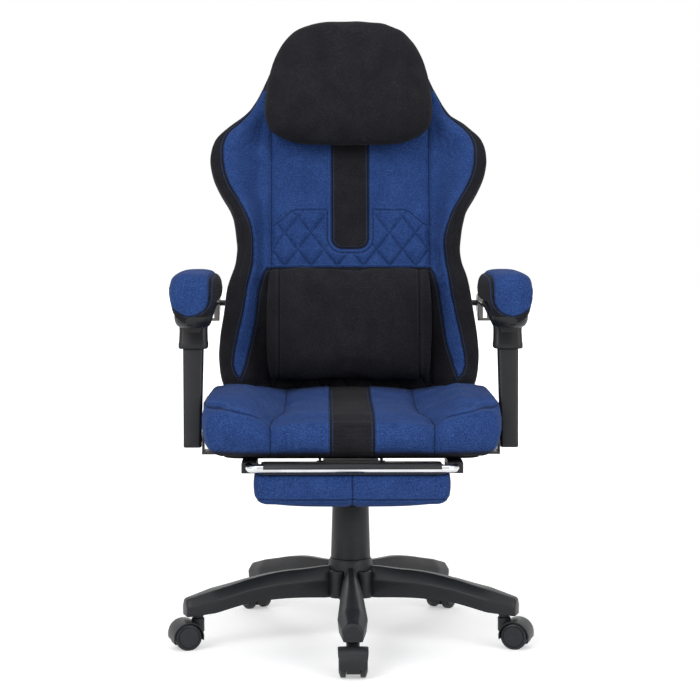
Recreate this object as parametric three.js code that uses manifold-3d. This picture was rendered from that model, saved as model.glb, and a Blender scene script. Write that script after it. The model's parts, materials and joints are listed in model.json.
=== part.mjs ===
// A gaming chair in millimetres, with +Z up and its front towards -Y.
// Pieces are placed by how far forward of the column they sit, how far to the side, and how high.
import * as THREE from "three";
import { mergeVertices } from "three/addons/utils/BufferGeometryUtils.js";
import Module from "manifold-3d";

// Counts and fits
const roundSides = 24;
const fewestSides = 8;
const wheelSides = 20;
const tubeSides = 12;
const legCount = 5;
const arcCount = 5;
const quiltColumnCount = 12;
const weldDistance = 0.001;
const facetLength = 3.6;
const gap = 0.4;
const runningGap = 1.2;
const sheetSteel = 5;

// Base
const stemCircleRadius = 300;
const legTipReach = 25;
const legStartReach = 26;
const hubRadius = 46;
const hubTopRadius = 40;
const hubBottomHeight = 80;
const hubTopHeight = 153;
const legHubTopDrop = 14;
const legTipTopHeight = 93;
const legTipBottomHeight = 61;
const legFullWidth = 55;
// Along the leg: reach share, width share, top face share, top height share, bottom height share.
const legStationShares = [
  [0.0, 0.56, 0.26, 1.0, 1.0],
  [0.1, 0.58, 0.27, 1.0, 1.0],
  [0.62, 0.86, 0.4, 0.6, 0.68],
  [0.82, 1.0, 0.49, 0.34, 0.32],
  [1.0, 0.69, 0.47, 0.0, 0.0],
];
const legChamferShare = 0.42;
const stemRadius = 5;
const stemLength = 34;
const stemCollarRadius = 9;
const stemCollarThickness = 3;

// Casters
const wheelRadius = 25;
const wheelThickness = 13;
const wheelSpacing = 25.2;
const axleRadius = 3;
const axleInsert = 8;
const casterTrail = 23;
const fenderGap = 1.4;
const fenderWall = 2.8;
const fenderWidth = 54;
const fenderHeight = 19;
const casterBossRadius = 12;
const wheelRimInset = 3;
const wheelDish = 1.6;

// Column
const cylinderRadius = 25;
const cylinderBottomHeight = 72;
const cylinderTopDrop = 28;
const columnHeight = 213.4;
const rodRadius = 14;
const coverWall = 2.2;
const coverBottomRadius = 37.5;
const coverTopRadius = 34.7;
const coverHeight = 102;
const coverStep = 3;
const coverRise = 5;

// Tilt mechanism
const housingHalfWidth = 52;
const housingFront = 74;
const housingRear = 56;
const housingDepth = 30;
const housingDrop = 22.4;
const socketHeight = 24;
const socketRadius = 21;
const tiltAxisForward = 20;
const tiltAxisDrop = 8;
const rodTopDrop = 6;
const tiltPinRadius = 5;
const tiltLugRadius = 13;
const tiltPlateHalfWidth = 100;
const tiltPlateFront = 96;
const tiltPlateRear = 112;
const knobForward = 51;
const knobRadius = 17.5;
const knobHeight = 36;
const knobShankRadius = 6;
const leverForward = -5;
const leverDrop = 18;
const leverRadius = 4;
const leverReach = 200;
const paddleLength = 52;
const paddleWidth = 22;
const paddleThickness = 7;

// Seat
const seatHalfWidth = 270;
const seatFront = 248;
const seatRear = 231;
const seatUndersideRise = 7.6;
const seatCentreThickness = 68;
const seatWingThickness = 106;
const seatFrontDrop = 9;
const seatRearRise = 13;
const seatSeamDepth = 5;
const seatSeamShare = 0.54;
const seatEdgeRoll = 15;
const boardHalfWidth = 232;
const boardFront = 182;
const boardRear = 216;
const boardThickness = 12;
const boardCorner = 30;

// Recline
const reclineAxisForward = -255;
const reclineAxisRise = 58.6;
const backLeanDegrees = 12;
const hingePlateSide = 212;
const hingeFootWidth = 22;
const hingeFootFront = -160;
const hingeDiscRadius = 20;
const hingePinRadius = 8;
const hingeHeadRadius = 14;
const hingeHeadThickness = 6;
const yokeBarBack = 34;
const yokeBarHeight = 168;
const yokeTubeRadius = 9;
const yokeTubeHeight = 100;
const reclineLeverSide = 278;
const reclineLeverThickness = 9;
const reclineLeverLength = 118;
const reclineLeverWidth = 20;
const reclineLeverRodRadius = 6;

// Backrest
const backHalfWidth = 279;
const backHeight = 731;
const backStart = 27;
const shellHalfThickness = 12;
const shellInset = 5;
const backThickness = 50;
const bolsterRise = 40;
const lowBolsterShare = 0.55;
const backSeamHalfWidth = 160;
const backSeamDepth = 4;
const backEdgeRoll = 14;
const quiltRise = 5;
const quiltHalfWidth = 26.5;
const quiltHalfHeight = 37.5;
const quiltRows = 3;
const quiltStart = 240;
// Outline of the backrest: height share, half width share.
const backOutlineShares = [
  [0.0, 0.87],
  [0.012, 0.9],
  [0.039, 0.92],
  [0.083, 0.93],
  [0.142, 0.918],
  [0.196, 0.895],
  [0.26, 0.874],
  [0.328, 0.817],
  [0.379, 0.8],
  [0.431, 0.805],
  [0.482, 0.845],
  [0.529, 0.922],
  [0.573, 0.977],
  [0.617, 1.0],
  [0.649, 0.994],
  [0.686, 0.955],
  [0.72, 0.856],
  [0.754, 0.747],
  [0.806, 0.655],
  [0.845, 0.607],
  [0.896, 0.55],
  [0.937, 0.48],
  [0.969, 0.4],
  [0.99, 0.32],
  [1.0, 0.24],
];

// Pillows
const lumbarHalfWidth = 166;
const lumbarHeight = 230;
const lumbarStart = 3;
const lumbarThickness = 78;
const headHalfWidth = 174;
const headHeight = 254;
const headDrop = 251;
const headThickness = 92;
// Outline of the headrest pillow: height share, half width share.
const headOutlineShares = [
  [0.0, 0.72],
  [0.06, 0.9],
  [0.12, 0.965],
  [0.2, 1.0],
  [0.3, 1.0],
  [0.41, 0.985],
  [0.51, 0.96],
  [0.62, 0.92],
  [0.72, 0.87],
  [0.82, 0.8],
  [0.92, 0.69],
  [0.97, 0.58],
  [1.0, 0.42],
];
const strapThickness = 1.4;
const headStrapWidth = 40;
const headStrapFrontReach = 118;
const headStrapRearReach = 90;
const lumbarStrapHalfWidth = 20;
const lumbarStrapRearReach = 60;
const lumbarStrapFrontReach = 40;

// Arms
const linkLength = 201;
const postPivotForward = 62;
const postPivotRise = 21.6;
const postSide = 295;
const postWidth = 37;
const postFootWidth = 30;
const postDepth = 30;
const postEndRadius = 12;
const postFootRadius = 17;
const postBoltRadius = 6;
const mountSide = 273;
const mountFootInner = 198;
const mountHalfDepth = 24;
const mountTopRadius = 17;
const padSide = 290;
const padHalfWidth = 41;
const padTaperShare = 0.08;
const padFront = 135;
const padRear = 125;
const padTopRise = 114.4;
const padThickness = 59;
const padEdgeRoll = 9;
const armShellDepth = 43;
const armShellRearDepth = 12;
const armShellRearReach = 34;
// Rows of the arm's under-shell: height share from its underside, inset as a share of the pad's half width.
const armShellRowShares = [
  [0.0, 0.34],
  [0.14, 0.18],
  [0.4, 0.08],
  [1.0, 0.05],
];
const sleeveWidth = 53;
const sleeveDepth = 43;
const sleeveWall = 7.5;
const sleeveFront = 16;
const sleeveRear = 22;
const bracketEarSide = 261;
const bracketOuterSide = 297;
const bracketEarRadius = 17;
const bracketWebForward = 36;
const bracketWebDrop = 10;
const bracketTopRise = 48;
const bracketRollRadius = 6;
const bracketTongueWidth = 40;
const bracketTongueRear = 60;
const bracketSlotHalfWidth = 4;
const bracketSlotHalfHeight = 12;
const armBoltRadius = 6;
const armBoltHeadRadius = 11;
const armBoltHeadThickness = 6;

// Footrest
const footBarForward = 255;
const footBarDrop = 8.9;
const footTubeRadius = 7;
const footTubeSide = 184;
const footTubeRear = 75;
const footTubeBend = 16;
const guideWidth = 27;
const guideFront = 238;
const guideRear = 130;
const footPadHalfWidth = 176;
const footPadFront = 250;
const footPadRear = 88;
const footPadThickness = 62.4;
const footPadDrop = 11.1;
const footPadRoll = 10;
const footBoardHalfWidth = 166;
const footBoardThickness = 3;
const saddleRadius = 10.4;
const saddleHalfWidth = 158;

// Sizes that follow from the caster circle, the hub, the column, the link and the pads
const legReach = stemCircleRadius + legTipReach;
const legHubTopHeight = hubTopHeight - legHubTopDrop;
const boardUndersideHeight = hubTopHeight + columnHeight;
const reclineAxisHeight = boardUndersideHeight + reclineAxisRise;
const postPivotHeight = boardUndersideHeight + postPivotRise;
const housingTopHeight = boardUndersideHeight - housingDrop;
const housingBottomHeight = housingTopHeight - housingDepth;
const socketBottomHeight = housingBottomHeight - socketHeight;
const cylinderTopHeight = socketBottomHeight - cylinderTopDrop;
const tiltAxisHeight = housingTopHeight - tiltAxisDrop;
const rodTopHeight = housingTopHeight - rodTopDrop;
const leverHeight = housingTopHeight - leverDrop;
const seatUndersideHeight = boardUndersideHeight + seatUndersideRise;
const backTop = backStart + backHeight;
const headStart = backTop - headDrop;
const lean = THREE.MathUtils.degToRad(backLeanDegrees);
const linkBack = linkLength * Math.sin(lean);
const linkUp = linkLength * Math.cos(lean);
const padTopHeight = postPivotHeight + linkUp + padTopRise;
const padBottomHeight = padTopHeight - padThickness;
const armShellBottomHeight = padBottomHeight - armShellDepth;
const sleeveBottomHeight = armShellBottomHeight - sleeveDepth;
const footBarHeight = boardUndersideHeight - footBarDrop;
const footPadTopHeight = footBarHeight - footPadDrop;
const footPadBottomHeight = footPadTopHeight - footPadThickness;
const guideBottomHeight = footPadTopHeight + gap * 1.5;

const wasm = await Module();
wasm.setup();

const black = { color: 0x232326, roughness: 0.85, metalness: 0.0 };
const blue = { color: 0x2d4f90, roughness: 0.9, metalness: 0.0 };
const nylon = { color: 0x2c2d30, roughness: 0.5, metalness: 0.0 };
const darkSteel = { color: 0x1c1c1e, roughness: 0.45, metalness: 0.7 };
const greySteel = { color: 0x6a6765, roughness: 0.4, metalness: 0.8 };
const chrome = { color: 0xd8dadd, roughness: 0.12, metalness: 1.0 };
const board = { color: 0x5a4630, roughness: 0.8, metalness: 0.0 };

const root = new THREE.Group();
root.name = "gaming_chair";

function toSolid(geometry) {
  const plain = geometry.index ? geometry.toNonIndexed() : geometry;
  const bare = new THREE.BufferGeometry();
  bare.setAttribute("position", plain.getAttribute("position"));
  const welded = mergeVertices(bare, weldDistance);
  const mesh = new wasm.Mesh({
    numProp: 3,
    vertProperties: new Float32Array(welded.attributes.position.array),
    triVerts: new Uint32Array(welded.index.array),
  });
  return new wasm.Manifold(mesh);
}

function toGeometry(solid) {
  const mesh = solid.getMesh();
  const geometry = new THREE.BufferGeometry();
  geometry.setAttribute("position", new THREE.BufferAttribute(new Float32Array(mesh.vertProperties), 3));
  geometry.setIndex(new THREE.BufferAttribute(new Uint32Array(mesh.triVerts), 1));
  const faceted = geometry.toNonIndexed();
  faceted.computeVertexNormals();
  return faceted;
}

function addPiece(name, solid, look, group = root) {
  const mesh = new THREE.Mesh(toGeometry(solid), new THREE.MeshStandardMaterial(look));
  mesh.name = name;
  group.add(mesh);
  return mesh;
}

function join(solids) {
  return solids.reduce((whole, next) => whole.add(next));
}

// A box from its side, forward and height ranges.
function block(side0, side1, forward0, forward1, height0, height1) {
  const geometry = new THREE.BoxGeometry(side1 - side0, forward1 - forward0, height1 - height0);
  geometry.translate((side0 + side1) / 2, -(forward0 + forward1) / 2, (height0 + height1) / 2);
  return toSolid(geometry);
}

function sidesOf(radius) {
  return THREE.MathUtils.clamp(Math.round((2 * Math.PI * radius) / facetLength), fewestSides, roundSides);
}

// A straight round bar between two points, each given as side, forward and height.
function bar(from, to, radius, sides = sidesOf(radius)) {
  const start = new THREE.Vector3(from[0], -from[1], from[2]);
  const end = new THREE.Vector3(to[0], -to[1], to[2]);
  const along = end.clone().sub(start);
  const geometry = new THREE.CylinderGeometry(radius, radius, along.length(), sides);
  const upright = new THREE.Vector3(0, 1, 0);
  geometry.applyQuaternion(new THREE.Quaternion().setFromUnitVectors(upright, along.clone().normalize()));
  const middle = start.add(end).multiplyScalar(1 / 2);
  geometry.translate(middle.x, middle.y, middle.z);
  return toSolid(geometry);
}

// A turned piece about the vertical, from radius and height pairs that start and end on the axis.
function turned(profile, sides = roundSides) {
  const points = profile.map(([radius, height]) => new THREE.Vector2(radius, height));
  const geometry = new THREE.LatheGeometry(points, sides);
  geometry.rotateX(Math.PI / 2);
  const solid = toSolid(geometry);
  return solid.volume() < 0 ? toSolid(new THREE.LatheGeometry(points.reverse(), sides).rotateX(Math.PI / 2))
    : solid;
}

function outlineShape(points) {
  return new THREE.Shape(points.map(([a, b]) => new THREE.Vector2(a, b)));
}

// A plate seen from the side: forward and height pairs, spread from one side value to another.
function sidePlate(points, side0, side1) {
  const geometry = new THREE.ExtrudeGeometry(outlineShape(points),
    { depth: side1 - side0, bevelEnabled: false });
  const turn = new THREE.Matrix4().makeBasis(
    new THREE.Vector3(0, -1, 0),
    new THREE.Vector3(0, 0, 1),
    new THREE.Vector3(-1, 0, 0),
  );
  geometry.applyMatrix4(turn);
  geometry.translate(side1, 0, 0);
  return toSolid(geometry);
}

// A plate seen from the front: side and height pairs, spread from one forward value to another.
function frontPlate(points, forward0, forward1) {
  const geometry = new THREE.ExtrudeGeometry(outlineShape(points),
    { depth: forward1 - forward0, bevelEnabled: false });
  const turn = new THREE.Matrix4().makeBasis(
    new THREE.Vector3(1, 0, 0),
    new THREE.Vector3(0, 0, 1),
    new THREE.Vector3(0, -1, 0),
  );
  geometry.applyMatrix4(turn);
  geometry.translate(0, -forward0, 0);
  return toSolid(geometry);
}

function roundedRing(side0, side1, forward0, forward1, corner) {
  const arcs = [
    [side1 - corner, -forward0 - corner, 0],
    [side0 + corner, -forward0 - corner, 1],
    [side0 + corner, -forward1 + corner, 2],
    [side1 - corner, -forward1 + corner, 3],
  ];
  const points = [];
  for (const [a, b, quarter] of arcs) {
    for (let step = 0; step <= arcCount; step += 1) {
      const angle = ((quarter + step / arcCount) * Math.PI) / 2;
      points.push([a + corner * Math.cos(angle), b + corner * Math.sin(angle)]);
    }
  }
  return points;
}

// A flat plate with rounded corners, from its side, forward and height ranges.
function roundedPlate(side0, side1, forward0, forward1, height0, height1, corner) {
  const points = roundedRing(side0, side1, forward0, forward1, corner);
  const geometry = new THREE.ExtrudeGeometry(outlineShape(points),
    { depth: height1 - height0, bevelEnabled: false });
  geometry.translate(0, 0, height0);
  return toSolid(geometry);
}

// A closed skin over loops with equal point counts.
function loft(loops) {
  const count = loops[0].length;
  const positions = loops.flat(2);
  const faces = [];
  for (let row = 0; row + 1 < loops.length; row += 1) {
    for (let i = 0; i < count; i += 1) {
      const a = row * count + i;
      const b = row * count + ((i + 1) % count);
      faces.push(a, b, b + count, a, b + count, a + count);
    }
  }
  const last = (loops.length - 1) * count;
  for (let i = 1; i + 1 < count; i += 1) {
    faces.push(0, i + 1, i);
    faces.push(last, last + i, last + i + 1);
  }
  return closedSolid(positions, faces);
}

function closedSolid(positions, faces) {
  const build = (triangles) =>
    new wasm.Manifold(
      new wasm.Mesh({ numProp: 3, vertProperties: new Float32Array(positions),
        triVerts: new Uint32Array(triangles) }),
    );
  const solid = build(faces);
  if (solid.volume() >= 0) {
    return solid;
  }
  const reversed = [];
  for (let i = 0; i < faces.length; i += 3) {
    reversed.push(faces[i], faces[i + 2], faces[i + 1]);
  }
  return build(reversed);
}

// A round tube along points given as side, forward and height, all at one height.
function bentTube(path, radius) {
  const loops = path.map((point, index) => {
    const before = path[Math.max(index - 1, 0)];
    const after = path[Math.min(index + 1, path.length - 1)];
    const along = new THREE.Vector2(after[0] - before[0], after[1] - before[1]).normalize();
    const loop = [];
    for (let i = 0; i < tubeSides; i += 1) {
      const angle = (i / tubeSides) * 2 * Math.PI;
      const out = radius * Math.cos(angle);
      loop.push([point[0] + out * along.y, -(point[1] - out * along.x),
        point[2] + radius * Math.sin(angle)]);
    }
    return loop;
  });
  return loft(loops);
}

// Value between rows of shares, by straight lines.
function between(rows, share) {
  let index = 0;
  while (index + 2 < rows.length && rows[index + 1][0] < share) {
    index += 1;
  }
  const [share0, value0] = rows[index];
  const [share1, value1] = rows[index + 1];
  return THREE.MathUtils.lerp(value0, value1,
    THREE.MathUtils.clamp((share - share0) / (share1 - share0), 0, 1));
}

// A soft block: a grid over its face, rows rolled round its sides, and a flat back.
// plan(u, v, inset) gives two lengths in the plane of the face and crown(u, v) the thickness there.
// place turns the two lengths and a thickness into side, forward and height.
// Side rows hold how far down the side they sit and how much of the roll they are drawn in.
function softBlock({ columns, rows, plan, crown, place, roll, sideRows, flipAt = () => false }) {
  const positions = [];
  const faces = [];
  const corner = (i, j) => j * columns.length + i;
  const put = (plane, thickness) => {
    const [side, forward, height] = place(plane[0], plane[1], thickness);
    positions.push(side, -forward, height);
    return positions.length / 3 - 1;
  };
  for (const v of rows) {
    for (const u of columns) {
      put(plan(u, v, roll), crown(u, v));
    }
  }
  for (let j = 0; j + 1 < rows.length; j += 1) {
    for (let i = 0; i + 1 < columns.length; i += 1) {
      const [a, b, c, d] = [corner(i, j), corner(i + 1, j), corner(i + 1, j + 1), corner(i, j + 1)];
      if (flipAt(i, j)) {
        faces.push(a, b, d, b, c, d);
      } else {
        faces.push(a, b, c, a, c, d);
      }
    }
  }
  const lastColumn = columns.length - 1;
  const lastRow = rows.length - 1;
  const border = [];
  for (let i = 0; i < lastColumn; i += 1) {
    border.push([i, 0]);
  }
  for (let j = 0; j < lastRow; j += 1) {
    border.push([lastColumn, j]);
  }
  for (let i = lastColumn; i > 0; i -= 1) {
    border.push([i, lastRow]);
  }
  for (let j = lastRow; j > 0; j -= 1) {
    border.push([0, j]);
  }
  let ring = border.map(([i, j]) => corner(i, j));
  for (const [downShare, rollShare] of sideRows) {
    const next = border.map(([i, j]) =>
      put(plan(columns[i], rows[j], roll * rollShare), crown(columns[i], rows[j]) * (1 - downShare)),
    );
    for (let k = 0; k < ring.length; k += 1) {
      const after = (k + 1) % ring.length;
      faces.push(ring[k], next[k], next[after], ring[k], next[after], ring[after]);
    }
    ring = next;
  }
  const centre = put(plan(0, 0, roll), 0);
  for (let k = 0; k < ring.length; k += 1) {
    faces.push(centre, ring[(k + 1) % ring.length], ring[k]);
  }
  return closedSolid(positions, faces);
}

// Mirrors rising shares, so that they run from the last one's negative to the last one.
function bothSides(shares) {
  return [...new Set([...shares.map((share) => (share ? -share : share)).reverse(), ...shares])];
}

// Turns a share from 0 to 1 into one from -1 to 1.
function toEnds(share) {
  return 2 * share - 1;
}

function evenShares(count) {
  return Array.from({ length: count + 1 }, (_, i) => toEnds(i / count));
}

const softSideShares = [
  [0.16, 0.35],
  [0.45, 0.0],
  [0.8, 0.08],
  [1.0, 0.45],
];

// Rounds the corners of a plan that runs from -1 to 1 both ways.
function roundedPlan(halfA, halfB, cornerShare) {
  return (u, v, inset) => [
    u * (halfA - inset) * (1 - cornerShare * Math.pow(Math.abs(v), 7)),
    v * (halfB - inset) * (1 - cornerShare * Math.pow(Math.abs(u), 7)),
  ];
}

// Base: a turned hub with five chamfered legs and a socket at each leg's end.
function legLoop([reachShare, widthShare, topShare, topHeightShare, bottomHeightShare]) {
  const reach = legStartReach + (legReach - legStartReach) * reachShare;
  const half = (legFullWidth * widthShare) / 2;
  const topHalf = half * topShare;
  const top = legTipTopHeight + (legHubTopHeight - legTipTopHeight) * topHeightShare;
  const bottom = legTipBottomHeight + (hubBottomHeight - legTipBottomHeight) * bottomHeightShare;
  const shoulder = top - (top - bottom) * legChamferShare;
  return [
    [-half * 0.9, -reach, bottom],
    [half * 0.9, -reach, bottom],
    [half, -reach, shoulder],
    [topHalf, -reach, top],
    [-topHalf, -reach, top],
    [-half, -reach, shoulder],
  ];
}

const legAngles = Array.from({ length: legCount }, (_, index) => (index * 360) / legCount);
const hub = turned([
  [0, hubBottomHeight],
  [hubRadius, hubBottomHeight],
  [hubRadius, (hubBottomHeight + hubTopHeight) / 2],
  [hubTopRadius, hubTopHeight],
  [0, hubTopHeight],
]);
const leg = loft(legStationShares.map(legLoop));
const stemBore = bar([0, stemCircleRadius, 0], [0, stemCircleRadius, legTipBottomHeight + stemLength * 0.8],
  stemRadius + gap);
let starBase = hub;
for (const angle of legAngles) {
  starBase = starBase.add(leg.rotate([0, 0, angle]));
}
for (const angle of legAngles) {
  starBase = starBase.subtract(stemBore.rotate([0, 0, angle]));
}
starBase = starBase.subtract(bar([0, 0, 0], [0, 0, hubTopHeight * 2], cylinderRadius + gap));
addPiece("star_base", starBase, nylon);

// Casters: the hood trails its stem, and the wheels carry a flat facet at the floor.
const axleHeight = wheelRadius * Math.cos(Math.PI / wheelSides);
const stemTop = legTipBottomHeight + stemLength * 0.8 - gap;
const hoodTop = legTipBottomHeight - stemCollarThickness - gap * 2;

function casterHood() {
  const outer = wheelRadius + fenderGap + fenderWall;
  const half = fenderWidth / 2;
  const web = wheelSpacing / 2 - gap;
  const across = (radius, halfWidth) => bar([-halfWidth, casterTrail, axleHeight],
    [halfWidth, casterTrail, axleHeight], radius);
  const below = block(-fenderWidth, fenderWidth, -fenderWidth, fenderWidth * 2, -fenderWidth, fenderHeight);
  const fender = across(outer, half).subtract(across(outer - fenderWall, fenderWidth)).subtract(below);
  const floorCut = block(-fenderWidth, fenderWidth, -fenderWidth, fenderWidth * 2, -fenderWidth,
    fenderHeight / 2);
  const spine = across(outer - fenderWall / 2, web).subtract(floorCut);
  const boss = bar([0, 0, fenderHeight * 1.6], [0, 0, hoodTop], casterBossRadius);
  const axle = across(axleRadius, wheelSpacing / 2 + axleInsert);
  const bore = bar([0, 0, fenderHeight * 1.8], [0, 0, hoodTop + fenderHeight], stemRadius + gap);
  return join([spine, fender, boss, axle]).subtract(bore);
}

function casterWheel() {
  const radius = wheelRadius;
  const profile = [
    [0, wheelThickness - wheelDish],
    [radius * 0.7, wheelThickness],
    [radius, wheelThickness - wheelRimInset],
    [radius, 0],
    [axleRadius + gap, 0],
    [axleRadius + gap, axleInsert + gap],
    [0, axleInsert + gap],
  ];
  return turned(profile, wheelSides).rotate([0, 0, 180 / wheelSides]);
}

const hood = casterHood();
const wheel = casterWheel();
const stem = join([
  bar([0, 0, fenderHeight * 1.8 + gap], [0, 0, stemTop], stemRadius),
  bar([0, 0, hoodTop + gap], [0, 0, hoodTop + gap + stemCollarThickness], stemCollarRadius),
]);
legAngles.forEach((angle, index) => {
  const number = index + 1;
  const caster = new THREE.Group();
  caster.rotation.z = THREE.MathUtils.degToRad(angle);
  root.add(caster);
  const trailing = new THREE.Group();
  trailing.position.y = -stemCircleRadius;
  caster.add(trailing);
  addPiece(`caster_stem_${number}`, stem, darkSteel, trailing);
  addPiece(`caster_hood_${number}`, hood, nylon, trailing);
  for (const [letter, sign] of [["a", -1], ["b", 1]]) {
    const turnedWheel = wheel.rotate([0, 90 * sign, 0]);
    const placed = turnedWheel.translate([(sign * wheelSpacing) / 2, -casterTrail, axleHeight]);
    addPiece(`caster_wheel_${number}${letter}`, placed, nylon, trailing);
  }
});

// Column: gas lift and three telescoping cover rings.
addPiece("gas_cylinder", turned([
  [0, cylinderBottomHeight],
  [cylinderRadius, cylinderBottomHeight],
  [cylinderRadius, cylinderTopHeight - coverWall],
  [cylinderRadius - coverWall, cylinderTopHeight],
  [rodRadius + gap, cylinderTopHeight],
  [rodRadius + gap, hubTopHeight],
  [0, hubTopHeight],
]), darkSteel);
addPiece("gas_rod", bar([0, 0, hubTopHeight + gap], [0, 0, rodTopHeight], rodRadius), chrome);

function coverRing(bottomRadius, topRadius, bottom, top) {
  return turned([
    [0, bottom],
    [bottomRadius, bottom],
    [topRadius, top],
    [0, top],
  ]).subtract(turned([
    [0, bottom - coverWall],
    [bottomRadius - coverWall, bottom - coverWall],
    [topRadius - coverWall, top + coverWall],
    [0, top + coverWall],
  ]));
}

const ringTop = hubTopHeight + gap + coverHeight;
const middleRadius = coverTopRadius - coverWall - gap;
const innerRadius = middleRadius - coverWall - gap;
addPiece("column_cover_lower", coverRing(coverBottomRadius, coverTopRadius, hubTopHeight + gap, ringTop),
  nylon);
addPiece("column_cover_middle",
  coverRing(middleRadius, middleRadius, hubTopHeight + coverRise, ringTop + coverRise), nylon);
addPiece("column_cover_upper",
  coverRing(innerRadius, innerRadius, ringTop - coverHeight / 2, socketBottomHeight - gap), nylon);

// Tilt mechanism
const housing = join([
  block(-housingHalfWidth, housingHalfWidth, -housingRear, housingFront, housingBottomHeight,
    housingTopHeight),
  bar([0, 0, socketBottomHeight], [0, 0, housingBottomHeight + socketRadius], innerRadius),
  bar([-housingHalfWidth - tiltLugRadius, tiltAxisForward, tiltAxisHeight],
    [housingHalfWidth + tiltLugRadius, tiltAxisForward, tiltAxisHeight], tiltPinRadius),
]);
const rodBore = bar([0, 0, 0], [0, 0, rodTopHeight + gap], rodRadius + gap);
const knobBore = bar([0, knobForward, 0], [0, knobForward, housingBottomHeight + knobRadius],
  knobShankRadius + gap);
const leverBoreOuter = [-housingHalfWidth * 2, leverForward, leverHeight];
const leverBoreInner = [-housingHalfWidth / 2 - gap, leverForward, leverHeight];
const leverBore = bar(leverBoreOuter, leverBoreInner, leverRadius * 1.8);
addPiece("tilt_housing", housing.subtract(rodBore).subtract(knobBore).subtract(leverBore), darkSteel);

const tiltPlateHeight = boardUndersideHeight - gap - sheetSteel;
const lugSide = housingHalfWidth + runningGap * 3;
const lugPoints = [
  [tiltAxisForward - tiltLugRadius, tiltAxisHeight],
  [tiltAxisForward + tiltLugRadius, tiltAxisHeight],
  [tiltAxisForward + tiltLugRadius, tiltPlateHeight + sheetSteel],
  [tiltAxisForward - tiltLugRadius, tiltPlateHeight + sheetSteel],
];
let tiltPlate = block(
  -tiltPlateHalfWidth, tiltPlateHalfWidth, -tiltPlateRear, tiltPlateFront,
  tiltPlateHeight, tiltPlateHeight + sheetSteel);
for (const sign of [-1, 1]) {
  const near = sign * lugSide;
  const far = sign * (lugSide + sheetSteel);
  const lug = sidePlate(lugPoints, Math.min(near, far), Math.max(near, far));
  const disc = bar([near, tiltAxisForward, tiltAxisHeight], [far, tiltAxisForward, tiltAxisHeight],
    tiltLugRadius);
  const hole = bar([0, tiltAxisForward, tiltAxisHeight], [far * 2, tiltAxisForward, tiltAxisHeight],
    tiltPinRadius + gap);
  tiltPlate = tiltPlate.add(lug).add(disc).subtract(hole);
}
addPiece("tilt_plate", tiltPlate, darkSteel);

const knobTop = housingBottomHeight - gap * 2;
addPiece("tension_knob", join([
  bar([0, knobForward, knobTop - knobHeight], [0, knobForward, knobTop], knobRadius, roundSides / 2),
  bar([0, knobForward, knobTop - gap], [0, knobForward, knobTop + knobRadius], knobShankRadius),
]), nylon);
addPiece("height_lever", join([
  bar([-housingHalfWidth / 2 - gap * 2, leverForward, leverHeight],
    [-leverReach + paddleLength / 2, leverForward, leverHeight], leverRadius),
  roundedPlate(-leverReach, -leverReach + paddleLength,
    leverForward - paddleWidth / 2, leverForward + paddleWidth / 2,
    leverHeight - paddleThickness / 2, leverHeight + paddleThickness / 2, paddleWidth / 3),
]), nylon);

// Seat board and seat cushion
const boardTop = boardUndersideHeight + boardThickness;
const seatBoard = roundedPlate(
  -boardHalfWidth, boardHalfWidth, -boardRear, boardFront, boardUndersideHeight, boardTop, boardCorner);
addPiece("seat_board", seatBoard, board);

const seatMiddle = (seatFront - seatRear) / 2;
const seatHalfLength = (seatFront + seatRear) / 2;
const seatPlan = roundedPlan(seatHalfWidth, seatHalfLength, 0.05);
const smooth = THREE.MathUtils.smoothstep;
const seatWingStartShare = seatSeamShare + 0.03;

function seatCrown(u, v) {
  const across = Math.abs(u);
  const wing = smooth(across, seatWingStartShare, 0.84) * (1 - 0.08 * smooth(across, 0.93, 1.0));
  const frontFade = smooth(v, -1.0, -0.55);
  const rearFade = 1 - 0.85 * smooth(v, 0.2, 0.9);
  const wingRise = (seatWingThickness - seatCentreThickness) * wing * (0.8 + 0.2 * frontFade) * rearFade;
  const crown = seatSeamDepth * Math.max(0, 1 - Math.pow(across / seatSeamShare, 2));
  const seam = Math.abs(across - seatSeamShare) < 0.01 ? seatSeamDepth : 0;
  const frontRoll = seatFrontDrop * (1 - smooth(v, -1.0, -0.75));
  const rearRise = seatRearRise * smooth(v, 0.2, 0.8) * (1 - 0.35 * smooth(v, 0.95, 1.0));
  return seatCentreThickness + wingRise + crown - seam - frontRoll + rearRise;
}

const seatForm = softBlock({
  columns: bothSides([0.07, 0.2, 0.36, 0.49, 0.54, 0.59, 0.66, 0.76, 0.86, 0.94, 1]),
  rows: [-1, -0.94, -0.84, -0.7, -0.5, -0.25, 0, 0.25, 0.5, 0.7, 0.86, 1],
  plan: seatPlan,
  crown: seatCrown,
  place: (a, b, thickness) => [a, seatMiddle - b, seatUndersideHeight + thickness],
  roll: seatEdgeRoll,
  sideRows: softSideShares,
});
const boardRecess = roundedPlate(
  -boardHalfWidth - gap, boardHalfWidth + gap, -boardRear - gap, boardFront + gap,
  boardUndersideHeight - gap, boardTop + gap, boardCorner);
addPiece("seat_cushion", seatForm.subtract(boardRecess), blue);

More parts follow.
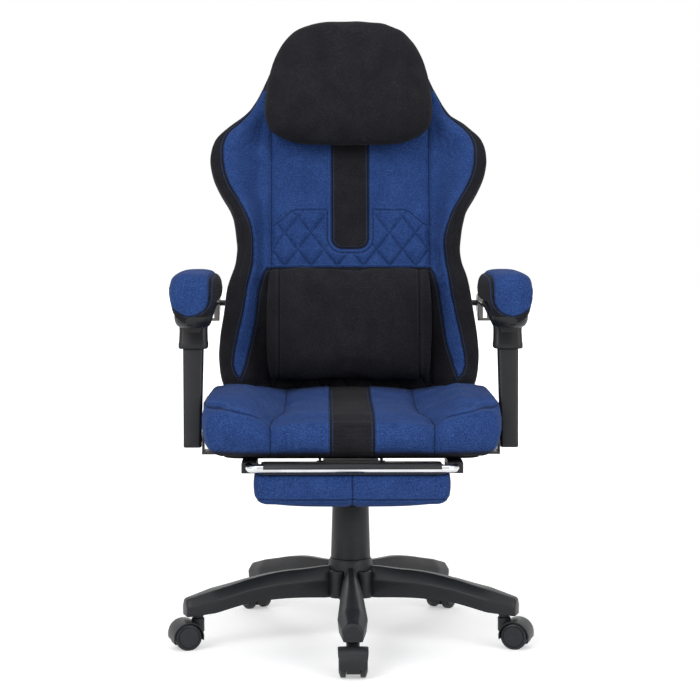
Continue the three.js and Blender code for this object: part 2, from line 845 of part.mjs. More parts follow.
// Recline hinges: a bracket each side of the seat, and the yoke that carries the backrest.
const hingeFootHeight = boardUndersideHeight - gap - sheetSteel;
function hingeBracket(sign) {
  const inner = hingePlateSide;
  const plate = sidePlate([
    [reclineAxisForward + hingeDiscRadius - sheetSteel, hingeFootHeight],
    [reclineAxisForward + hingeDiscRadius - sheetSteel, reclineAxisHeight],
    [reclineAxisForward - hingeDiscRadius, reclineAxisHeight],
    [reclineAxisForward - hingeDiscRadius, hingeFootHeight],
  ], inner, inner + sheetSteel);
  const axis = (side) => [side, reclineAxisForward, reclineAxisHeight];
  const disc = bar(axis(inner), axis(inner + sheetSteel), hingeDiscRadius - sheetSteel);
  const foot = block(inner + sheetSteel - hingeFootWidth, inner + sheetSteel,
    reclineAxisForward - hingeDiscRadius, hingeFootFront, hingeFootHeight, hingeFootHeight + sheetSteel);
  const pin = bar(axis(inner - sheetSteel * 2 - gap), axis(inner), hingePinRadius);
  const head = bar(axis(inner + sheetSteel - gap), axis(inner + sheetSteel + hingeHeadThickness),
    hingeHeadRadius);
  const solid = join([plate, disc, foot, pin, head]);
  return sign < 0 ? solid.mirror([1, 0, 0]) : solid;
}
addPiece("recline_bracket_left", hingeBracket(-1), darkSteel);
addPiece("recline_bracket_right", hingeBracket(1), darkSteel);

// Everything on the backrest is built upright and leans with its group.
const back = new THREE.Group();
back.position.set(0, -reclineAxisForward, reclineAxisHeight);
back.rotation.x = -THREE.MathUtils.degToRad(backLeanDegrees);
root.add(back);

const yokeInner = hingePlateSide - gap - sheetSteel;
const yokeBar = [
  [-yokeBarBack, -sheetSteel],
  [-shellHalfThickness - gap, -sheetSteel],
  [-shellHalfThickness - gap, yokeBarHeight],
  [-yokeBarBack, yokeBarHeight],
];
const yokeTubeBack = -(yokeBarBack + shellHalfThickness) / 2;
let yoke = bar([-yokeInner, yokeTubeBack, yokeTubeHeight], [yokeInner, yokeTubeBack, yokeTubeHeight],
  yokeTubeRadius);
for (const sign of [-1, 1]) {
  const near = sign * yokeInner;
  const far = sign * (yokeInner + sheetSteel);
  yoke = yoke.add(sidePlate(yokeBar, Math.min(near, far), Math.max(near, far)));
  yoke = yoke.add(bar([near, 0, 0], [far, 0, 0], hingeDiscRadius));
}
yoke = yoke.subtract(bar([-yokeInner * 2, 0, 0], [yokeInner * 2, 0, 0], hingePinRadius + gap));
addPiece("recline_yoke", yoke, darkSteel, back);

const reclineHeadSide = hingePlateSide + sheetSteel + hingeHeadThickness;
addPiece("recline_lever", join([
  bar([-reclineHeadSide - gap, reclineAxisForward, reclineAxisHeight],
    [-reclineLeverSide - reclineLeverThickness / 2, reclineAxisForward, reclineAxisHeight],
    reclineLeverRodRadius),
  sidePlate([
    [reclineAxisForward - reclineLeverWidth / 2, reclineAxisHeight - reclineLeverWidth / 2],
    [reclineAxisForward + reclineLeverLength, reclineAxisHeight - reclineLeverWidth / 2],
    [reclineAxisForward + reclineLeverLength + reclineLeverWidth / 3, reclineAxisHeight],
    [reclineAxisForward + reclineLeverLength, reclineAxisHeight + reclineLeverWidth / 2],
    [reclineAxisForward - reclineLeverWidth / 2, reclineAxisHeight + reclineLeverWidth / 2],
  ], -reclineLeverSide - reclineLeverThickness, -reclineLeverSide),
]), nylon);

// Backrest shell: a flat panel in the outline of the backrest, with a bolt for each arm bracket.
const armBoltUp = linkLength;
const shellPoints = [];
for (const [heightShare, widthShare] of backOutlineShares) {
  shellPoints.push([backHalfWidth * widthShare - shellInset, backStart + backHeight * heightShare]);
}
const shellOutline = [...shellPoints.map(([a, b]) => [-a, b]), ...shellPoints.reverse()].reverse();
let shell = frontPlate(shellOutline, -shellHalfThickness, shellHalfThickness);
const headInner = bracketEarSide + sheetSteel + gap;
const shellSideAtBolt = backHalfWidth * between(backOutlineShares,
  (armBoltUp - backStart) / backHeight) - shellInset;
for (const sign of [-1, 1]) {
  shell = shell.add(bar([sign * (shellSideAtBolt - armBoltHeadRadius), 0, armBoltUp],
    [sign * headInner, 0, armBoltUp], armBoltRadius));
  shell = shell.add(bar([sign * headInner, 0, armBoltUp],
    [sign * (headInner + armBoltHeadThickness), 0, armBoltUp], armBoltHeadRadius, 6));
}
addPiece("backrest_shell", shell, black, back);

// Backrest cushion: level centre, raised bolsters, diamond quilting above the lumbar pillow.
const cushionStart = shellHalfThickness + gap;
const quiltEnd = quiltStart + quiltRows * quiltHalfHeight;
const quiltRowHeights = Array.from({ length: quiltRows + 1 },
  (_, row) => quiltStart - backStart + row * quiltHalfHeight);
const plainRowHeights = backOutlineShares
  .map(([heightShare]) => heightShare * backHeight)
  .filter((height) => height + backStart < quiltStart - quiltHalfHeight / 4
    || height + backStart > quiltEnd + quiltHalfHeight / 4);
const backRows = [...plainRowHeights, ...quiltRowHeights]
  .sort((a, b) => a - b)
  .map((height) => toEnds(height / backHeight));
const bolsterShares = [0.25, 0.5, 0.75, 0.92, 1.0];

function backSpot(v) {
  const heightShare = (v + 1) / 2;
  return backHalfWidth * between(backOutlineShares, heightShare);
}

// Columns run evenly over the centre panel, then by share from its seam to the side.
const backColumns = [
  ...[...bolsterShares].reverse().map((share) => -1 - share),
  ...evenShares(quiltColumnCount),
  ...bolsterShares.map((share) => 1 + share),
];

function backPlan(u, v, inset) {
  const half = backSpot(v) - inset * (1 - 0.5 * smooth(v, 0.7, 1));
  const seam = Math.min(backSeamHalfWidth, half * 0.86);
  const across = Math.abs(u);
  const side = across <= 1 ? across * seam : seam + (across - 1) * (half - seam);
  const up = backStart + ((v + 1) / 2) * backHeight;
  const drawn = v <= backRows[0] ? inset : v >= backRows[backRows.length - 1] ? -inset : 0;
  return [Math.sign(u) * side, up + drawn * 0.8];
}

// The quilting is drawn in where its stitched lines cross, beside and under the centre stripe.
function isTuft(u, v) {
  const row = (((v + 1) / 2) * backHeight + backStart - quiltStart) / quiltHalfHeight;
  const column = (u * quiltColumnCount) / 2;
  const onGrid = Math.abs(row - Math.round(row)) < 0.01 && Math.abs(column - Math.round(column)) < 0.01;
  const inZone = row > 0.5 && row < quiltRows + 0.5 && Math.abs(u) < 0.99;
  const clearOfStripe = row < 1.5 || Math.abs(column) > 1.5;
  return onGrid && inZone && clearOfStripe && (Math.round(row) + Math.round(column)) % 2 === 0;
}

function backCrown(u, v) {
  const heightShare = (v + 1) / 2;
  const across = Math.abs(u);
  const topFade = 1 - smooth(heightShare, 0.66, 0.78);
  const lowFade = lowBolsterShare + (1 - lowBolsterShare) * smooth(heightShare, 0.12, 0.5);
  const bolster = smooth(across, 1.15, 1.75) * (1 - 0.25 * smooth(across, 1.85, 2));
  const rise = bolsterRise * bolster * topFade * lowFade;
  const seam = Math.abs(across - 1) < 0.01 ? backSeamDepth * topFade : 0;
  const edge = backEdgeRoll * 0.6 * (smooth(heightShare, 0.97, 1) + 1 - smooth(heightShare, 0, 0.03));
  return backThickness + rise - seam - edge - (isTuft(u, v) ? quiltRise : 0);
}

const backForm = softBlock({
  columns: backColumns,
  rows: backRows,
  plan: backPlan,
  crown: backCrown,
  place: (a, b, thickness) => [a, cushionStart + thickness, b],
  roll: backEdgeRoll,
  sideRows: softSideShares,
  flipAt: (i, j) => isTuft(backColumns[i + 1], backRows[j]) || isTuft(backColumns[i], backRows[j + 1]),
});
addPiece("backrest_cushion", backForm, blue, back);

// Pillows lie against the level centre of the backrest.
const pillowRest = cushionStart + backThickness + gap;
const pillowShares = evenShares(12);
const pillowSideShares = [
  [0.3, 0.2],
  [0.6, 0.0],
  [0.85, 0.15],
  [1.0, 0.5],
];
const domeShare = (u, v) => (1 - Math.pow(Math.abs(u), 4)) * (1 - Math.pow(Math.abs(v), 4));
const lumbarPlan = roundedPlan(lumbarHalfWidth, lumbarHeight / 2, 0.035);
const lumbarPillow = softBlock({
  columns: pillowShares,
  rows: evenShares(10),
  plan: lumbarPlan,
  crown: (u, v) => lumbarThickness * (0.42 + 0.58 * Math.pow(domeShare(u, v), 0.6)),
  place: (a, b, thickness) => [a, pillowRest + strapThickness + gap + thickness,
    backStart + lumbarStart + lumbarHeight / 2 + b],
  roll: padEdgeRoll,
  sideRows: pillowSideShares,
});
addPiece("lumbar_pillow", lumbarPillow, black, back);

const headPlan = (u, v, inset) => {
  const taper = between(headOutlineShares, (v + 1) / 2);
  const [a, b] = roundedPlan(headHalfWidth, headHeight / 2, 0.08)(u, v, inset);
  return [a * taper, b];
};
const headPillow = softBlock({
  columns: pillowShares,
  rows: headOutlineShares.map(([share]) => toEnds(share)),
  plan: headPlan,
  crown: (u, v) => headThickness * (0.45 + 0.55 * Math.pow(domeShare(u, v), 0.55)),
  place: (a, b, thickness) => [a, pillowRest + strapThickness + gap + thickness,
    headStart + headHeight / 2 + b],
  roll: backEdgeRoll,
  sideRows: pillowSideShares,
});
addPiece("headrest_pillow", headPillow, black, back);

// The straps hook over the backrest's top and under its lower edge, hidden by the pillows in front.
const strapFront = pillowRest;
const strapRear = -shellHalfThickness - gap;

function hookStrap(halfWidth, frontEnd, rearEnd, edge, outward) {
  const turn = edge + outward * strapThickness;
  const outline = [
    [strapFront, frontEnd],
    [strapFront, edge],
    [strapRear, edge],
    [strapRear, rearEnd],
    [strapRear - strapThickness, rearEnd],
    [strapRear - strapThickness, turn],
    [strapFront + strapThickness, turn],
    [strapFront + strapThickness, frontEnd],
  ];
  return sidePlate(outward < 0 ? outline : outline.reverse(), -halfWidth, halfWidth);
}

const headStrap = hookStrap(
  headStrapWidth / 2, backTop - headStrapFrontReach, backTop - headStrapRearReach, backTop + gap, 1);
const lumbarStrap = hookStrap(
  lumbarStrapHalfWidth, backStart + lumbarStrapFrontReach, backStart + lumbarStrapRearReach,
  backStart - gap, -1);
addPiece("headrest_strap", headStrap, black, back);
addPiece("lumbar_strap", lumbarStrap, black, back);

// Arms: a linkage whose post runs parallel to the backrest, so the pad stays level.
const sleevePivot = [postPivotForward - linkBack, postPivotHeight + linkUp];
const bracketPivot = [reclineAxisForward - linkBack, reclineAxisHeight + linkUp];

function armMount() {
  const foot = block(mountFootInner, mountSide + sheetSteel - runningGap,
    postPivotForward - mountHalfDepth, postPivotForward + mountHalfDepth,
    hingeFootHeight, hingeFootHeight + sheetSteel);
  const tab = sidePlate([
    [postPivotForward - mountHalfDepth, hingeFootHeight],
    [postPivotForward + mountHalfDepth, hingeFootHeight],
    [postPivotForward + mountTopRadius, postPivotHeight],
    [postPivotForward - mountTopRadius, postPivotHeight],
  ], mountSide, mountSide + sheetSteel - runningGap);
  const at = (side) => [side, postPivotForward, postPivotHeight];
  const disc = bar(at(mountSide), at(mountSide + sheetSteel - runningGap), mountTopRadius);
  const bolt = bar(at(mountSide), at(postSide), postBoltRadius);
  return join([foot, tab, disc, bolt]);
}

function armPost() {
  const inner = postSide - postWidth / 2;
  const outer = postSide + postWidth / 2;
  const along = new THREE.Vector2(-linkBack, linkUp).normalize();
  const across = new THREE.Vector2(along.y, -along.x);
  const corner = (pivot, sideways, lengthwise) => [
    pivot[0] + across.x * sideways + along.x * lengthwise,
    pivot[1] + across.y * sideways + along.y * lengthwise,
  ];
  const foot = [postPivotForward, postPivotHeight];
  const shaft = sidePlate([
    corner(foot, -postDepth / 2, 0),
    corner(foot, postDepth / 2, 0),
    corner(sleevePivot, postDepth / 2, -postDepth),
    corner(sleevePivot, postEndRadius, 0),
    corner(sleevePivot, -postEndRadius, 0),
    corner(sleevePivot, -postDepth / 2, -postDepth),
  ].reverse(), inner, outer);
  const at = (side, pivot) => [side, pivot[0], pivot[1]];
  const top = bar(at(inner, sleevePivot), at(outer, sleevePivot), postEndRadius);
  const bottom = bar(at(inner, foot), at(outer, foot), postFootRadius);
  const topBore = bar(at(inner - gap, sleevePivot), at(outer + gap, sleevePivot),
    postBoltRadius + runningGap);
  const bottomBore = bar(at(inner - gap, foot), at(postSide + gap, foot), postBoltRadius + gap);
  const taper = (postWidth - postFootWidth) / 2;
  const footBottom = postPivotHeight - postFootRadius;
  const sleeveTop = sleevePivot[1] + postEndRadius;
  const narrowing = frontPlate([
    [inner + taper, footBottom],
    [outer - taper, footBottom],
    [outer, sleeveTop],
    [inner, sleeveTop],
  ], sleevePivot[0] - postDepth * 2, foot[0] + postDepth * 2);
  return join([shaft, top, bottom]).intersect(narrowing).subtract(topBore).subtract(bottomBore);
}

// The under-shell is deep round the sleeve and shallow behind it.
function armShell() {
  const trayTop = padBottomHeight - gap;
  const tray = (bottom, rear) => loft(armShellRowShares.map(([share, insetShare]) => {
    const height = bottom + (trayTop - bottom) * share;
    const inset = padHalfWidth * insetShare;
    const ring = roundedRing(padSide - padHalfWidth + inset, padSide + padHalfWidth - inset,
      -rear + inset, padFront - inset, padHalfWidth * 0.55);
    return ring.map(([a, b]) => [a, b, height]);
  }));
  const inner = postSide - sleeveWidth / 2;
  const outer = postSide + sleeveWidth / 2;
  const sleeve = block(inner, outer, sleevePivot[0] - sleeveRear, sleevePivot[0] + sleeveFront,
    sleeveBottomHeight, armShellBottomHeight + gap);
  const room = block(inner + sleeveWall, outer - sleeveWall, sleevePivot[0] - sleeveFront,
    sleevePivot[0] + sleeveFront * 2,
    sleeveBottomHeight - gap, armShellBottomHeight);
  const bolt = bar([inner - gap, ...sleevePivot], [outer + gap, ...sleevePivot], postBoltRadius);
  const rearTray = tray(padBottomHeight - armShellRearDepth, padRear);
  return join([tray(armShellBottomHeight, armShellRearReach), rearTray, sleeve.subtract(room), bolt]);
}

function armBracket() {
  const webForward = bracketPivot[0] + bracketWebForward;
  const tongueTop = padBottomHeight - armShellRearDepth - gap;
  const webBottom = armShellBottomHeight - bracketWebDrop;
  const webTop = armShellBottomHeight + bracketTopRise;
  const ear = sidePlate([
    [bracketPivot[0] - bracketEarRadius, bracketPivot[1]],
    [bracketPivot[0], bracketPivot[1] - bracketEarRadius],
    [webForward, webBottom],
    [webForward, webTop],
    [bracketPivot[0], bracketPivot[1] + bracketEarRadius],
  ], bracketEarSide, bracketEarSide + sheetSteel);
  const disc = bar([bracketEarSide, ...bracketPivot], [bracketEarSide + sheetSteel, ...bracketPivot],
    bracketEarRadius);
  const web = frontPlate([
    [bracketEarSide, webBottom],
    [bracketOuterSide, webBottom],
    [bracketOuterSide, tongueTop],
    [bracketEarSide + sheetSteel * 3, webTop],
    [bracketEarSide, webTop],
  ], webForward - sheetSteel, webForward);
  const slotSide = bracketEarSide + sheetSteel * 3;
  const slotHeight = (webBottom + tongueTop - sheetSteel) / 2;
  const slot = block(slotSide - bracketSlotHalfWidth, slotSide + bracketSlotHalfWidth,
    webForward - sheetSteel * 2, webForward + sheetSteel,
    slotHeight - bracketSlotHalfHeight, slotHeight + bracketSlotHalfHeight);
  const rolled = bar([bracketEarSide, webForward - sheetSteel / 2, webTop],
    [bracketEarSide + sheetSteel * 4, webForward - sheetSteel / 2, webTop], bracketRollRadius);
  const tongue = block(bracketEarSide, bracketEarSide + bracketTongueWidth - runningGap * 3,
    webForward - sheetSteel, -bracketTongueRear, tongueTop - sheetSteel, tongueTop);
  const hole = bar([0, ...bracketPivot], [bracketOuterSide * 2, ...bracketPivot], armBoltRadius + gap);
  return join([ear, disc, web, rolled, tongue]).subtract(slot).subtract(hole);
}

const padHalfLength = (padFront + padRear) / 2;
const padMiddle = (padFront - padRear) / 2;
const armPadPlan = (u, v, inset) => {
  const [a, b] = roundedPlan(padHalfWidth, padHalfLength, 0.05)(u, v, inset);
  return [a * (1 - padTaperShare * smooth(-v, -0.2, 1)), b];
};
const armPadForm = softBlock({
  columns: bothSides([0, 0.28, 0.55, 0.78, 0.92, 1]),
  rows: [-1, -0.94, ...evenShares(12).slice(1, -1), 0.94, 1],
  plan: armPadPlan,
  crown: (u, v) => {
    const dome = (1 - Math.pow(Math.abs(u), 3)) * (1 - Math.pow(Math.abs(v), 12));
    return (padTopHeight - padBottomHeight) * (0.5 + 0.5 * Math.sqrt(dome));
  },
  place: (a, b, thickness) => [padSide + a, padMiddle - b, padBottomHeight + thickness],
  roll: padEdgeRoll,
  sideRows: softSideShares,
});

for (const [name, sign] of [["left", -1], ["right", 1]]) {
  const onSide = (solid) => (sign < 0 ? solid.mirror([1, 0, 0]) : solid);
  addPiece(`arm_mount_${name}`, onSide(armMount()), darkSteel);
  addPiece(`arm_post_${name}`, onSide(armPost()), nylon);
  addPiece(`arm_shell_${name}`, onSide(armShell()), nylon);
  addPiece(`arm_bracket_${name}`, onSide(armBracket()), greySteel);
  addPiece(`arm_pad_${name}`, onSide(armPadForm), blue);
}

// Footrest: guides under the board, a bent tube that slides in them, and a pad that turns on its front bar.
function bendPoints() {
  const points = [[footTubeSide, -footTubeRear, footBarHeight]];
  for (let step = 0; step <= arcCount; step += 1) {
    const angle = ((step / arcCount) * Math.PI) / 2;
    points.push([
      footTubeSide - footTubeBend + footTubeBend * Math.cos(angle),
      footBarForward - footTubeBend + footTubeBend * Math.sin(angle),
      footBarHeight,
    ]);
  }
  return [...points, ...points.map(([a, b, c]) => [-a, b, c]).reverse()];
}
addPiece("footrest_frame", bentTube(bendPoints(), footTubeRadius), chrome);

for (const [name, sign] of [["left", -1], ["right", 1]]) {
  const middle = sign * footTubeSide;
  const guide = block(middle - guideWidth / 2, middle + guideWidth / 2, guideRear, guideFront,
    guideBottomHeight, boardUndersideHeight - gap);
  const bore = bar([middle, 0, footBarHeight], [middle, footBarForward, footBarHeight],
    footTubeRadius + gap, tubeSides);
  addPiece(`footrest_guide_${name}`, guide.subtract(bore), nylon);
}

const footBoardBottom = footPadTopHeight + gap;
let footBoard = roundedPlate(-footBoardHalfWidth, footBoardHalfWidth,
  footPadRear + footPadRoll, footPadFront,
  footBoardBottom, footBoardBottom + footBoardThickness, footPadRoll);
const alongBar = (half) => [[-half, footBarForward, footBarHeight], [half, footBarForward, footBarHeight]];
const belowFront = block(-footTubeSide, footTubeSide, footBarForward, footBarForward + saddleRadius * 2,
  footBarHeight - saddleRadius * 2, footBarHeight);
footBoard = footBoard.add(bar(...alongBar(saddleHalfWidth), saddleRadius)).subtract(belowFront);
footBoard = footBoard.subtract(bar(...alongBar(footTubeSide), footTubeRadius + gap));
addPiece("footrest_board", footBoard, nylon);

const footPadForm = softBlock({
  columns: bothSides([0, 0.03, 0.2, 0.45, 0.7, 0.9, 1]),
  rows: evenShares(8),
  plan: roundedPlan(footPadHalfWidth, (footPadFront - footPadRear) / 2, 0.04),
  crown: (u, v) => (footPadTopHeight - footPadBottomHeight)
    * (0.85 + 0.15 * (1 - Math.pow(Math.abs(u), 4)) * (1 - v ** 4) - (u === 0 ? 0.05 : 0)),
  place: (a, b, thickness) => [a, (footPadFront + footPadRear) / 2 + b, footPadTopHeight - thickness],
  roll: footPadRoll,
  sideRows: softSideShares,
});
addPiece("footrest_pad", footPadForm, blue);

// The frame's origin lies on the floor under the middle of the chair's length.
const rearReach = -reclineAxisForward + backTop * Math.sin(lean) + shellHalfThickness * Math.cos(lean);
const frontReach = stemCircleRadius + casterTrail + wheelRadius + fenderGap + fenderWall;
root.position.y = (frontReach - rearReach) / 2;

export default root;
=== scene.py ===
import json
import math

import bmesh
import bpy
import numpy as np
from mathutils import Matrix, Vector

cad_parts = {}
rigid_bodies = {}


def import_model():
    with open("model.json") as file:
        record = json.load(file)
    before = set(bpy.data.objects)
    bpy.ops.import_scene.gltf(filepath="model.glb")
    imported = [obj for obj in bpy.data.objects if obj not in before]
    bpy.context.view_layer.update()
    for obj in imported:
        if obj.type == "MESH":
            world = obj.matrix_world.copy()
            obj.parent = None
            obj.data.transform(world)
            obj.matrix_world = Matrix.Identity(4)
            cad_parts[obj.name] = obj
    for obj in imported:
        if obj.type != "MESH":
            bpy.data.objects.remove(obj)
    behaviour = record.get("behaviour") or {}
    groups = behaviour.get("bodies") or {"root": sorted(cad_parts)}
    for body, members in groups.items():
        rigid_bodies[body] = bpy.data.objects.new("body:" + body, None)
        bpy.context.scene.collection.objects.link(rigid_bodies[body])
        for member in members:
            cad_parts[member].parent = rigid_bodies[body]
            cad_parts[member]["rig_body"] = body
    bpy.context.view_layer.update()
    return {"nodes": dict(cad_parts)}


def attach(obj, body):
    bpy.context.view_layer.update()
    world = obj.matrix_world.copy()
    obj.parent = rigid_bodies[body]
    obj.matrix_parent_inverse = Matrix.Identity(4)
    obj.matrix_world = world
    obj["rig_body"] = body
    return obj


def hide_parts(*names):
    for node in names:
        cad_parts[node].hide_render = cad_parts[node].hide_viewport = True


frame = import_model()
nodes = frame["nodes"]
print("frame loaded:", len(nodes), "nodes")

shiftBack = 0.036067416  # the chair's middle lies over the origin, its column a little behind it
bodyOf = {name: node["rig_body"] for name, node in nodes.items()}


def linked(name, data):
    made = bpy.data.objects.new(name, data)
    bpy.context.scene.collection.objects.link(made)
    return made


# Camera
cameraValues = {
    "azimuth": 0.784,  # degrees the view is turned about the column
    "standAzimuth": 0.8,
    "pitchDown": 4.507,
    "distance": 3.692,
    "height": 0.8394,
    "lens": 100.71,
    "sensor": 36.0,
    "clipEnd": 60,
}


def makeCamera(values):
    data = bpy.data.cameras.new("viewCamera")
    data.lens = values["lens"]
    data.sensor_width = values["sensor"]
    camera = linked("viewCamera", data)
    turn = math.radians(values["standAzimuth"])
    camera.location = (
        -values["distance"] * math.sin(turn),
        -shiftBack - values["distance"] * math.cos(turn),
        values["height"],
    )
    camera.rotation_euler = (
        math.radians(90 - values["pitchDown"]),
        0,
        -math.radians(values["azimuth"]),
    )
    data.clip_end = values["clipEnd"]
    bpy.context.scene.camera = camera


makeCamera(cameraValues)


# Shader helpers
def addNode(tree, kind, **settings):
    node = tree.nodes.new(kind)
    for key, value in settings.items():
        setattr(node, key, value)
    return node


def wire(tree, source, target):
    if isinstance(source, (int, float, tuple, list)):
        target.default_value = source
    else:
        tree.links.new(source, target)


def mathNode(tree, operation, *values, clamp=False):
    node = addNode(tree, "ShaderNodeMath", operation=operation, use_clamp=clamp)
    for slot, value in enumerate(values):
        wire(tree, value, node.inputs[slot])
    return node.outputs[0]


def plus(tree, *values, clamp=False):
    return mathNode(tree, "ADD", *values, clamp=clamp)


def minus(tree, *values):
    return mathNode(tree, "SUBTRACT", *values)


def times(tree, *values):
    return mathNode(tree, "MULTIPLY", *values)


def over(tree, *values):
    return mathNode(tree, "DIVIDE", *values)


def mixColour(tree, share, first, second, blend="MIX"):
    node = addNode(tree, "ShaderNodeMix", data_type="RGBA", blend_type=blend)
    wire(tree, share, node.inputs["Factor"])
    wire(tree, first, node.inputs[6])
    wire(tree, second, node.inputs[7])
    return node.outputs[2]


def ramp(tree, value, low, high, start=0.0, end=1.0):
    node = addNode(tree, "ShaderNodeMapRange", interpolation_type="SMOOTHSTEP")
    wire(tree, value, node.inputs["Value"])
    for key, number in (("From Min", low), ("From Max", high), ("To Min", start), ("To Max", end)):
        wire(tree, number, node.inputs[key])
    return node.outputs["Result"]


def attribute(tree, name):
    return addNode(tree, "ShaderNodeAttribute", attribute_name=name).outputs["Fac"]


def objectPlace(tree):
    return addNode(tree, "ShaderNodeTexCoord").outputs["Object"]


def scaled(tree, vector, scale):
    node = addNode(tree, "ShaderNodeMapping")
    wire(tree, vector, node.inputs["Vector"])
    node.inputs["Scale"].default_value = scale
    return node.outputs["Vector"]


def noise(tree, vector, scale, detail=2.0, roughness=0.5):
    node = addNode(tree, "ShaderNodeTexNoise")
    wire(tree, vector, node.inputs["Vector"])
    node.inputs["Scale"].default_value = scale
    node.inputs["Detail"].default_value = detail
    node.inputs["Roughness"].default_value = roughness
    return node.outputs["Fac"]


def newGroup(name, inputs, outputs):
    tree = bpy.data.node_groups.new(name, "ShaderNodeTree")
    for label, kind, default in inputs:
        socket = tree.interface.new_socket(label, in_out="INPUT", socket_type=kind)
        if default is not None:
            socket.default_value = default
    for label, kind in outputs:
        tree.interface.new_socket(label, in_out="OUTPUT", socket_type=kind)
    return tree, addNode(tree, "NodeGroupInput"), addNode(tree, "NodeGroupOutput")


def useGroup(tree, group, **values):
    node = addNode(tree, "ShaderNodeGroup", node_tree=group)
    for key, value in values.items():
        wire(tree, value, node.inputs[key])
    return node


# sRGB bytes to a linear colour: ((c + 0.055) / 1.055) ^ 2.4.
def linear(red, green, blue):
    share = [v / 255 for v in (red, green, blue)]
    return tuple(v / 12.92 if v < 0.04045 else ((v + 0.055) / 1.055) ** 2.4 for v in share) + (1.0,)


def toned(colour, share):
    return tuple(v * share for v in colour[:3]) + (1,)


# Weave: crossed threads of one size, with flecks where single threads are lighter or darker.
def makeWeaveGroup():
    tree, given, out = newGroup(
        "weave",
        [
            ("Place", "NodeSocketVector", None),
            ("Thread", "NodeSocketFloat", 0.0011),
            ("Fleck", "NodeSocketFloat", 1.0),
        ],
        [("Tone", "NodeSocketFloat"), ("Height", "NodeSocketFloat")],
    )
    place = given.outputs["Place"]
    parts = addNode(tree, "ShaderNodeSeparateXYZ")
    wire(tree, place, parts.inputs[0])
    turns = over(tree, math.pi, given.outputs["Thread"])
    waves = [mathNode(tree, "SINE", times(tree, axis, turns)) for axis in parts.outputs]
    products = [times(tree, waves[a], waves[b]) for a, b in ((0, 1), (1, 2), (0, 2))]
    weaveSum = plus(tree, plus(tree, products[0], products[1]), products[2])
    weave = ramp(tree, weaveSum, -1.0, 1.2)
    flat = noise(tree, scaled(tree, place, (380, 1300, 1300)), 1.0, 1.0)
    upright = noise(tree, scaled(tree, place, (1300, 1300, 380)), 1.0, 1.0)
    cloud = noise(tree, place, 28.0, 3.0)
    flecks = plus(tree, flat, upright)
    spread = times(tree, minus(tree, flecks, 1.0), given.outputs["Fleck"])
    tone = plus(tree, 0.5, times(tree, spread, 1.35))
    tone = plus(tree, tone, times(tree, minus(tree, cloud, 0.5), 0.35))
    tone = plus(tree, tone, times(tree, minus(tree, weave, 0.5), 0.3), clamp=True)
    height = plus(tree, times(tree, weave, 0.6), times(tree, flecks, 0.4))
    wire(tree, tone, out.inputs["Tone"])
    wire(tree, height, out.inputs["Height"])
    return tree


# Seam: a crease where two cloths meet, with the mask of the shade painted into it, and a row of stitches
# beside it.
def makeSeamGroup():
    tree, given, out = newGroup(
        "seam",
        [
            ("Distance", "NodeSocketFloat", 0.1),
            ("Along", "NodeSocketFloat", 0.0),
            ("Crease", "NodeSocketFloat", 0.0016),
            ("Offset", "NodeSocketFloat", 0.005),
            ("Pitch", "NodeSocketFloat", 0.0045),
        ],
        [("Groove", "NodeSocketFloat"), ("Stitch", "NodeSocketFloat"), ("Height", "NodeSocketFloat")],
    )
    away = mathNode(tree, "ABSOLUTE", given.outputs["Distance"])
    # Groove is the mask of the painted shade: a dark line along the crease, where shade falls.
    groove = ramp(tree, over(tree, away, given.outputs["Crease"]), 0.3, 1.4, 1.0, 0.0)
    side = mathNode(tree, "ABSOLUTE", minus(tree, away, given.outputs["Offset"]))
    row = ramp(tree, side, 0.0005, 0.0011, 1.0, 0.0)
    step = mathNode(tree, "FRACT", over(tree, given.outputs["Along"], given.outputs["Pitch"]))
    centred = mathNode(tree, "ABSOLUTE", minus(tree, step, 0.5))
    stitch = times(tree, row, ramp(tree, centred, 0.3, 0.42, 1.0, 0.0))
    puckered = ramp(tree, over(tree, away, given.outputs["Crease"]), 0.0, 4.0, 0.0, 1.0)
    height = plus(tree, puckered, times(tree, stitch, 0.35))
    wire(tree, groove, out.inputs["Groove"])
    wire(tree, stitch, out.inputs["Stitch"])
    wire(tree, height, out.inputs["Height"])
    return tree


# Moulding: fine spark-eroded texture, faint flow marks and rubbed, paler patches.
def makeMouldGroup():
    tree, given, out = newGroup(
        "moulding",
        [
            ("Place", "NodeSocketVector", None),
            ("Grain", "NodeSocketFloat", 900.0),
            ("Wear", "NodeSocketFloat", 0.5),
        ],
        [("Tone", "NodeSocketFloat"), ("Rub", "NodeSocketFloat"), ("Height", "NodeSocketFloat")],
    )
    place = given.outputs["Place"]
    fine = addNode(tree, "ShaderNodeTexNoise")
    wire(tree, place, fine.inputs["Vector"])
    wire(tree, given.outputs["Grain"], fine.inputs["Scale"])
    fine.inputs["Detail"].default_value = 2.0
    broad = noise(tree, place, 14.0, 4.0, 0.6)
    scuffs = noise(tree, scaled(tree, place, (40, 40, 160)), 1.0, 3.0, 0.7)
    rub = times(tree, ramp(tree, scuffs, 0.58, 0.74), given.outputs["Wear"])
    wire(tree, broad, out.inputs["Tone"])
    wire(tree, rub, out.inputs["Rub"])
    wire(tree, fine.outputs["Fac"], out.inputs["Height"])
    return tree


weaveGroup = makeWeaveGroup()
seamGroup = makeSeamGroup()
mouldGroup = makeMouldGroup()


def startMaterial(name):
    material = bpy.data.materials.new(name)
    material.use_nodes = True
    tree = material.node_tree
    shader = tree.nodes["Principled BSDF"]
    return material, tree, shader


def addBump(tree, height, strength, distance, normal=None):
    bump = addNode(tree, "ShaderNodeBump")
    bump.inputs["Strength"].default_value = strength
    bump.inputs["Distance"].default_value = distance
    wire(tree, height, bump.inputs["Height"])
    if normal is not None:
        wire(tree, normal, bump.inputs["Normal"])
    return bump.outputs["Normal"]


